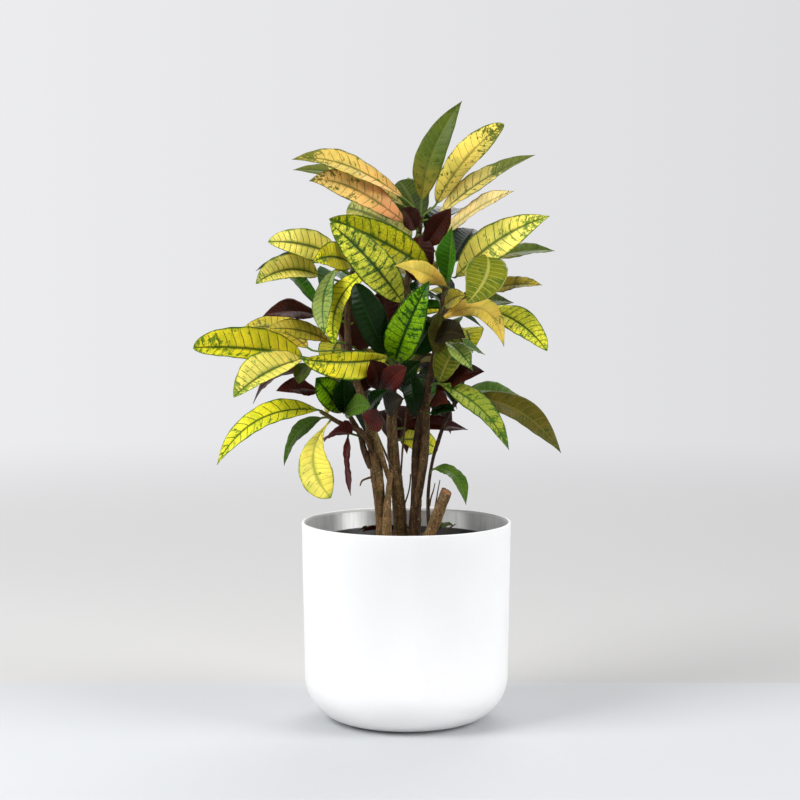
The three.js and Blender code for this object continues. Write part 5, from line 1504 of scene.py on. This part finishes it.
def make_twigs(settings):
    """Dead twigs on the canes and in the pot."""
    lines = [(places, False, TWIG_SHADE) for places in TWIGS]
    piece = linked("dead_twigs", drawn_lines("dead_twigs", lines))
    grown(piece, cane_tree(), {
        "Sides": TWIG_SIDES, "Bark Depth": settings.bark_depth * TWIG_BARK, "Scar Size": TWIG_SCAR,
        "Ring Spacing": settings.ring_spacing, "Scar Spacing": settings.scar_spacing,
        "Material": material("dead twigs", bark_look),
    })
    dress(piece, "bark", "soil")


def make_fallen_leaves(settings):
    """Dead leaves that lie on the soil."""
    fallen = []
    for order, (root, base, tip, width, fold, kind) in enumerate(FALLEN):
        fallen.append(Leaf(
            "soil", Vector(root), Vector(base), Vector(tip), Vector(FALLEN_BOW), UP.copy(), width,
            *FALLEN_TURNS, fold, order, OUTLINES["oval"], kind,
        ))
    piece = leaf_cluster("fallen_leaves", fallen, settings)
    grown(piece, leaf_relief_tree(), {
        "Quilt Depth": settings.quilt_depth, "Material": material("fallen leaf", leaf_look),
    })
    dress(piece, "foliage", "soil")


def studio_light(nodes, heading, settings):
    """Colour of the soft light that comes from each side: the room in front, the backdrop behind."""
    behind = nodes.ease(heading, *ROOM_EDGE)
    return nodes.mix(behind, (*settings.room, 1), (*settings.backdrop, 1))


def side_slope(nodes, aside, settings):
    """How much brighter than its middle the studio is on the left, and how much dimmer on the right."""
    aside = nodes.math("MINIMUM", nodes.most(aside, -SLOPE_REACH), SLOPE_REACH)
    return nodes.line(aside, -settings.side_fall, 1.0)


def make_stage(settings):
    """Pale floor, soft studio light and the camera of the front view."""
    far = settings.floor_size
    corners = [(-far, -far, 0), (far, -far, 0), (far, far, 0), (-far, far, 0)]
    ground = material("studio floor", floor_look)
    new_piece("floor", corners, [(0, 1, 2, 3)], (ground,), smooth=False)
    world = bpy.data.worlds.new("studio")
    world.use_nodes = True
    nodes = Nodes(world.node_tree)
    heading = nodes.parts(nodes.add("ShaderNodeTexCoord").outputs["Generated"])
    sky = world.node_tree.nodes["Background"].inputs
    nodes.set(sky["Color"], studio_light(nodes, heading[1], settings))
    nodes.set(sky["Strength"], nodes.times(side_slope(nodes, heading[0], settings), settings.ambient))
    bpy.context.scene.world = world
    for name, (place, target, size, spread) in LIGHTS.items():
        light = bpy.data.lights.new(name, "AREA")
        light.size = size
        light.spread = math.radians(spread)
        light.energy = getattr(settings, name + "_power")
        lamp = linked(name, light)
        lamp.location = place
        lamp.rotation_euler = (Vector(target) - Vector(place)).to_track_quat("-Z", "Y").to_euler()
    camera = linked("camera", bpy.data.cameras.new("camera"))
    camera.data.sensor_width = SENSOR_WIDTH
    camera.data.lens = VIEW["focal"] / PICTURE * SENSOR_WIDTH
    camera.data.shift_x = (VIEW["middle"] - VIEW["across"]) / PICTURE
    camera.location = (0, -VIEW["distance"] * MM, VIEW["eye"] * MM)
    camera.rotation_euler = (math.radians(90 - VIEW["down"]), 0, 0)
    bpy.context.scene.camera = camera
    bpy.context.scene.view_settings.view_transform = "Standard"


def floor_look(nodes, shader):
    """Matt floor, a touch cooler in front of the plant, with painted light: lighter on the left and darker
    on the right as the studio dims, and far off painted black with a painted glow of the backdrop's light,
    so that it melts into the backdrop.
    """
    settings = bpy.context.scene.croton_stage
    place = object_place(nodes)
    x, y = nodes.parts(place)[:2]
    away = nodes.reach(nodes.stretched(place, (1.0, 1.0, 0.0)))
    behind = nodes.ease(y, settings.seam - SEAM_BLEND, settings.seam + SEAM_BLEND)
    color = nodes.mix(behind, (*settings.floor_color, 1), (*settings.wall_color, 1))
    from_eye = nodes.most(nodes.plus(y, VIEW["distance"] * MM), 1.0)
    # painted light: the floor's colour follows the studio's dimming from left to right, in full behind the
    # seam and half as much in front of it
    slope = side_slope(nodes, nodes.math("DIVIDE", x, from_eye), settings)
    color = nodes.mix(nodes.line(behind, 0.5, 0.5), color, nodes.mix(1.0, color, slope, "MULTIPLY"))
    # painted glow: far off the floor turns black and glows with the studio's light instead
    far = nodes.ease(away, *MELT_REACH)
    heading = nodes.math("DIVIDE", y, nodes.most(away, MELT_REACH[0]))
    for socket, value in {
        "Base Color": nodes.mix(far, color, (0, 0, 0, 1)),
        "Roughness": 0.9,
        "Specular IOR Level": 0.0,
        "Emission Color": studio_light(nodes, heading, settings),
        "Emission Strength": nodes.times(far, settings.ambient, slope),
    }.items():
        nodes.set(shader.inputs[socket], value)


def length(name, description, default):
    """A size in metres that a user may change."""
    return bpy.props.FloatProperty(
        name=name, description=description, default=default, subtype="DISTANCE", unit="LENGTH",
    )


def count(name, description, default):
    """A whole number of facets or veins that a user may change."""
    return bpy.props.IntProperty(name=name, description=description, default=default, min=3)


def number(name, description, default):
    """A strength, share or density that a user may change."""
    return bpy.props.FloatProperty(name=name, description=description, default=default)


def tint(name, description, default):
    """A colour that a user may change."""
    return bpy.props.FloatVectorProperty(
        name=name, description=description, default=default, subtype="COLOR", size=3, min=0, max=1,
    )


class PlanterSettings(bpy.types.PropertyGroup):
    sides: count("Sides", "Facets round the planter and the nursery pot", 128)
    foot_steps: count("Foot Steps", "Facets across the planter's rounded foot", 14)


class SoilSettings(bpy.types.PropertyGroup):
    crumbs: number("Crumbs", "Crumbs on each square metre of soil", 42000.0)
    fibres: number("Fibres", "Loose fibres on each square metre of soil", 5200.0)
    chips: number("Chips", "Bark chips on each square metre of soil", 2600.0)


class BarkSettings(bpy.types.PropertyGroup):
    sides: count("Sides", "Facets round a cane", 22)
    bark_depth: length("Bark Depth", "Height of the bark's cracks and lumps", 0.0009)
    ring_spacing: length("Ring Spacing", "Distance between the rings along a cane", 0.009)
    scar_spacing: length("Scar Spacing", "Distance between leaf scars along a cane", 0.008)


class LeafSettings(bpy.types.PropertyGroup):
    vein_pairs: count("Vein Pairs", "Side veins on each half of a blade", 13)
    vein_lean: number("Vein Lean", "How far side veins run towards the tip", 0.3)
    thickness: length("Thickness", "Thickness of a blade beside its midrib", 0.0009)
    quilt_depth: length("Quilt Depth", "Height of the blade's swelling between two side veins", 0.0007)


class StageSettings(bpy.types.PropertyGroup):
    floor_size: length("Floor Size", "Half the width of the floor", 80.0)
    seam: length("Seam", "Distance behind the plant at which the floor turns to the backdrop's grey", 0.225)
    floor_color: tint("Floor Color", "Colour of the floor round the plant", (0.532, 0.545, 0.554))
    wall_color: tint("Wall Color", "Colour of the floor behind the seam", (0.53, 0.525, 0.52))
    backdrop: tint("Backdrop", "Colour of the light all round", (0.98, 0.98, 1.0))
    room: tint("Room", "Colour of the light from the viewer's side", (0.44, 0.44, 0.45))
    ambient: number("Ambient", "Strength of the light all round", 0.8)
    side_fall: number("Side Fall", "How much the backdrop dims towards the right", 0.4)
    key_power: number("Key Power", "Power of the light from the front left, in watts", 100.0)
    fill_power: number("Fill Power", "Power of the light from the right, in watts", 66.0)
    rear_power: number("Rear Power", "Power of the light from behind, in watts", 30.0)
    low_power: number("Low Power", "Power of the narrow low light on the planter's foot, in watts", 0.12)


class PlanterOperator(bpy.types.Operator):
    """Make the white planter round its solid"""
    bl_idname = "croton.planter"
    bl_label = "Planter"

    def execute(self, context):
        make_planter(context.scene.croton_planter)
        return {"FINISHED"}


class NurseryPotOperator(bpy.types.Operator):
    """Make the black nursery pot inside the planter"""
    bl_idname = "croton.nursery_pot"
    bl_label = "Nursery Pot"

    def execute(self, context):
        make_nursery_pot(context.scene.croton_planter)
        return {"FINISHED"}


class SoilOperator(bpy.types.Operator):
    """Make the soil with its crumbs, fibres and bark chips"""
    bl_idname = "croton.soil"
    bl_label = "Soil"

    def execute(self, context):
        make_soil(context.scene.croton_soil)
        return {"FINISHED"}


class CanesOperator(bpy.types.Operator):
    """Grow the woody canes of the plants"""
    bl_idname = "croton.canes"
    bl_label = "Canes"

    def execute(self, context):
        make_canes(context.scene.croton_bark)
        return {"FINISHED"}


class LeavesOperator(bpy.types.Operator):
    """Make the leaves of the plants where the solids have them"""
    bl_idname = "croton.leaves"
    bl_label = "Leaves"

    def execute(self, context):
        make_leaves(context.scene.croton_leaf)
        return {"FINISHED"}


class StubOperator(bpy.types.Operator):
    """Make the sawn-off cane"""
    bl_idname = "croton.cut_stub"
    bl_label = "Sawn Stub"

    def execute(self, context):
        make_stub(context.scene.croton_bark)
        return {"FINISHED"}


class LitterOperator(bpy.types.Operator):
    """Make the dead twigs and the fallen leaves"""
    bl_idname = "croton.litter"
    bl_label = "Twigs and Fallen Leaves"

    def execute(self, context):
        make_twigs(context.scene.croton_bark)
        make_fallen_leaves(context.scene.croton_leaf)
        return {"FINISHED"}


class StageOperator(bpy.types.Operator):
    """Set the floor, the lights and the camera"""
    bl_idname = "croton.stage"
    bl_label = "Stage"

    def execute(self, context):
        make_stage(context.scene.croton_stage)
        return {"FINISHED"}


class CrotonPanel(bpy.types.Panel):
    """Buttons that make the croton's pieces, with their sizes"""
    bl_idname = "VIEW3D_PT_croton"
    bl_label = "Potted Croton"
    bl_space_type = "VIEW_3D"
    bl_region_type = "UI"
    bl_category = "Croton"

    def draw(self, context):
        for label, group in GROUPS.items():
            box = self.layout.box()
            box.label(text=group.__name__)
            settings = getattr(context.scene, label)
            for key in group.__annotations__:
                box.prop(settings, key)
        for operator in OPERATORS:
            self.layout.operator(operator.bl_idname)


GROUPS = {
    "croton_planter": PlanterSettings,
    "croton_soil": SoilSettings,
    "croton_bark": BarkSettings,
    "croton_leaf": LeafSettings,
    "croton_stage": StageSettings,
}
OPERATORS = (
    PlanterOperator, NurseryPotOperator, SoilOperator, CanesOperator, LeavesOperator, StubOperator,
    LitterOperator, StageOperator,
)


def register():
    for group in GROUPS.values():
        bpy.utils.register_class(group)
    for operator in OPERATORS:
        bpy.utils.register_class(operator)
    bpy.utils.register_class(CrotonPanel)
    for label, group in GROUPS.items():
        setattr(bpy.types.Scene, label, bpy.props.PointerProperty(type=group))


def unregister():
    for label in GROUPS:
        delattr(bpy.types.Scene, label)
    bpy.utils.unregister_class(CrotonPanel)
    for operator in reversed(OPERATORS):
        bpy.utils.unregister_class(operator)
    for group in reversed(list(GROUPS.values())):
        bpy.utils.unregister_class(group)


def main():
    """Makes every piece and the stage."""
    register()
    bpy.ops.croton.planter()
    bpy.ops.croton.nursery_pot()
    bpy.ops.croton.soil()
    bpy.ops.croton.canes()
    bpy.ops.croton.leaves()
    bpy.ops.croton.cut_stub()
    bpy.ops.croton.litter()
    bpy.ops.croton.stage()
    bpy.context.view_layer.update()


if __name__ == "__main__":
    main()
